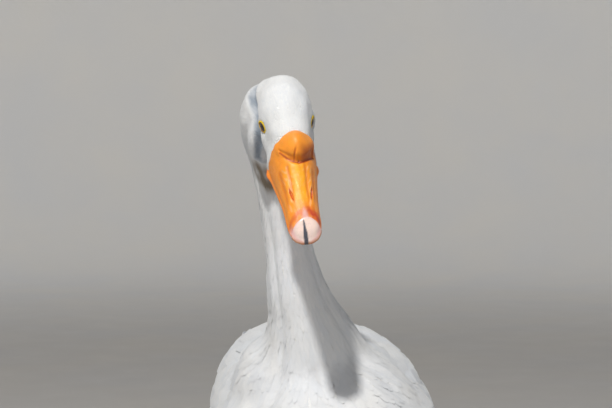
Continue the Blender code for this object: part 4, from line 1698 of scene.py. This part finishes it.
class GOOSE_OT_legs(bpy.types.Operator):
    """Scaled shanks and webbed feet with their claws"""

    bl_idname = "goose.legs"
    bl_label = "Legs"

    def execute(self, context):
        look = context.scene.goose_legs
        leg_finish = finish(
            "Leg skin",
            look.orange,
            0.55,
            layers=(("worn", (0.62, 0.30, 0.12)), ("bright", (0.95, 0.36, 0.05))),
            mottle=(0.10, 70.0),
            bumps=(("cells", 420.0, 0.00035), ("fine", 900.0, 0.00012)),
            Subsurface_Weight=0.08,
            Subsurface_Radius=(0.003, 0.0012, 0.0006),
        )
        claw_finish = finish(
            "Claw horn",
            look.claw,
            0.38,
            layers=(("root", (0.50, 0.24, 0.10)),),
            mottle=(0.10, 300.0),
            bumps=(("fine", 500.0, 0.00010),),
            Coat_Weight=0.2,
            Coat_Roughness=0.3,
        )
        for name, side in SIDES.items():
            self.add_leg(name, side, leg_finish)
            self.add_claws(name, side, claw_finish)
        return {"FINISHED"}

    def add_leg(self, name, side, leg_finish):
        """Shank and foot grown together. The shank narrows above the hock, where it goes into the thigh."""
        nodes = (f"shank_{name}", f"foot_{name}")
        shells = node_shells(nodes)
        hip, hock = (Vector(point) for point in THIGH)
        for vertex in shells[0].verts:
            vertex.co += vertex.normal * 0.0004
            rise = vertex.co.z - PLACE[2] - hock.z
            if rise > 0:
                inside = hock.lerp(hip, rise / (hip.z - hock.z))
                axis = Vector((side * inside.x, inside.y, inside.z)) + PLACE
                vertex.co = axis.lerp(vertex.co, float(np.interp(rise, (0.0, 0.008), (1.0, 0.45))))
        mesh = grown_together(shells, 0.0011)
        points = smoothed(mesh, 12)
        relief = scutes(points, side) * ramp(points[:, 2], 0.0006, 0.0030) / 1000
        points = points + normals_of(mesh) * relief[:, None]
        points[:, 2] = np.maximum(points[:, 2], 0.0)
        place_vertices(mesh, points)
        near_floor = 1 - ramp(points[:, 2], 0.004, 0.02)
        mark(mesh, "worn", np.clip(1.2 * ripple(points, 0.02, 40) * near_floor, 0, 0.7))
        mark(mesh, "bright", np.clip(0.6 * ripple(points, 0.03, 41), 0, 1))
        leg = add(f"leg_{name}", mesh, leg_finish)
        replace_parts(leg, *nodes)

    def add_claws(self, name, side, claw_finish):
        """The four claws of a foot, redder at their roots."""
        claws = [f"claw_{toe}_{name}" for toe in ("hind", "inner", "middle", "outer")]
        mesh = grown_together(node_shells(claws), 0.00055)
        points = smoothed(mesh, 14)
        joint = placed((side * TOE_JOINT[0], *TOE_JOINT[1:]))
        reach = np.hypot(*(points - joint)[:, :2].T)
        mark(mesh, "root", 1 - ramp(reach, 0.060, 0.086))
        piece = add(f"claws_{name}", mesh, claw_finish)
        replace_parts(piece, *claws)


# (name, place from the middle of the eyes, size, which power, share of it, colour).
LIGHTS = (
    ("Key light", (-1.28, -2.87, 3.88), 0.26, "key", 1.0, (1.0, 0.965, 0.91)),
    ("Fill light", (1.3, -1.6, 0.7), 1.8, "fill", 1.0, (0.88, 0.94, 1.0)),
    ("Rim light", (0.5, 1.5, 1.2), 0.8, "fill", 0.6, (1.0, 0.98, 0.95)),
)
LIGHTS_AIM = (0, 0.05, -0.10)  # from the middle of the eyes
CAMERA_PLACE = (-0.1496, -1.4470, 0.0118)  # likewise
CAMERA_TURN = (-3.0, -6.5)  # degrees that the camera looks up and to the left
SKY = (0.80, 0.88, 1.0)
SKY_STRENGTH = 0.11


def area_light(name, where, target, size, power, colour):
    data = bpy.data.lights.new(name, "AREA")
    data.shape = "DISK"
    data.size = size
    data.energy = power
    data.color = colour
    light = linked(name, data)
    light.location = where
    light.rotation_euler = (target - where).to_track_quat("-Z", "Y").to_euler()


def backdrop():
    """A round floor whose rim curves up into a wall."""
    bend = np.linspace(0.1, math.pi / 2, 12)
    profile = [(r, 0.0) for r in np.linspace(0.25, 4.4, 12)]
    profile += [(4.4 + 1.4 * math.sin(a), 1.4 - 1.4 * math.cos(a)) for a in bend]
    profile += [(5.8, 2.4), (5.8, 5.0)]
    around = 64
    angles = np.arange(around) * 2 * math.pi / around
    mesh = bmesh.new()
    rows = [[mesh.verts.new((r * math.cos(a), r * math.sin(a), z)) for a in angles] for r, z in profile]
    centre = mesh.verts.new((0, 0, 0))
    for i in range(around):
        j = (i + 1) % around
        mesh.faces.new((centre, rows[0][i], rows[0][j]))
        for low, high in zip(rows, rows[1:]):
            mesh.faces.new((low[i], high[i], high[j], low[j]))
    return settled(mesh, "floor")


class GOOSE_OT_stage(bpy.types.Operator):
    """Round floor that curves up into a wall, the lights and the camera"""

    bl_idname = "goose.stage"
    bl_label = "Stage"

    def execute(self, context):
        scene = context.scene
        look = scene.goose_stage
        data = backdrop()
        floor = linked("floor", data)
        reach = np.linalg.norm(vertices_of(data)[:, :2], axis=1)
        mark(data, "wall", ramp(reach, 2.5, 5.0))
        data.materials.append(
            finish(
                "Floor",
                look.floor,
                0.8,
                layers=(("wall", (0.84, 0.83, 0.81)),),
                mottle=(0.02, 3.0),
                bumps=(("fine", 60.0, 0.0004),),
            )
        )
        shaded_smooth(data)

        for name, where, size, which, share, colour in LIGHTS:
            power = getattr(look, which) * share
            area_light(name, EYES + Vector(where), EYES + Vector(LIGHTS_AIM), size, power, colour)

        world = bpy.data.worlds.new("Studio")
        world.use_nodes = True
        world.node_tree.nodes["Background"].inputs["Color"].default_value = (*SKY, 1)
        world.node_tree.nodes["Background"].inputs["Strength"].default_value = SKY_STRENGTH
        scene.world = world

        scene.view_settings.view_transform = "Standard"

        lens = bpy.data.cameras.new("Camera")
        lens.lens = look.focal
        lens.sensor_width = 36.0
        camera = linked("Camera", lens)
        camera.location = EYES + Vector(CAMERA_PLACE)
        camera.rotation_euler = (math.radians(90 + CAMERA_TURN[0]), 0, math.radians(CAMERA_TURN[1]))
        scene.camera = camera
        return {"FINISHED"}


class GOOSE_PT_panel(bpy.types.Panel):
    """Makes the goose, piece by piece"""

    bl_idname = "GOOSE_PT_panel"
    bl_label = "White Goose"
    bl_space_type = "VIEW_3D"
    bl_region_type = "UI"
    bl_category = "Goose"

    def draw(self, context):
        for group in GROUPS:
            box = self.layout.box()
            settings = getattr(context.scene, group)
            for name in settings.bl_rna.properties.keys():
                if name not in ("rna_type", "name"):
                    box.prop(settings, name)
        for step in STEPS:
            self.layout.operator(step.bl_idname)


GROUPS = {
    "goose_skin": GooseSkin,
    "goose_coat": GooseCoat,
    "goose_bill": GooseBill,
    "goose_eye": GooseEye,
    "goose_legs": GooseLegs,
    "goose_stage": GooseStage,
}

STEPS = (
    GOOSE_OT_stage,
    GOOSE_OT_skin,
    GOOSE_OT_head_feathers,
    GOOSE_OT_neck_feathers,
    GOOSE_OT_body_feathers,
    GOOSE_OT_wings,
    GOOSE_OT_tail,
    GOOSE_OT_legs,
    GOOSE_OT_bill,
    GOOSE_OT_eyes,
)
CLASSES = (*GROUPS.values(), *STEPS, GOOSE_PT_panel)


def register():
    for made in CLASSES:
        bpy.utils.register_class(made)
    for name, group in GROUPS.items():
        setattr(bpy.types.Scene, name, PointerProperty(type=group))


def unregister():
    for name in GROUPS:
        delattr(bpy.types.Scene, name)
    for made in reversed(CLASSES):
        bpy.utils.unregister_class(made)


def main():
    register()
    for step in STEPS:
        group, name = step.bl_idname.split(".")
        getattr(getattr(bpy.ops, group), name)()


if __name__ == "__main__":
    main()
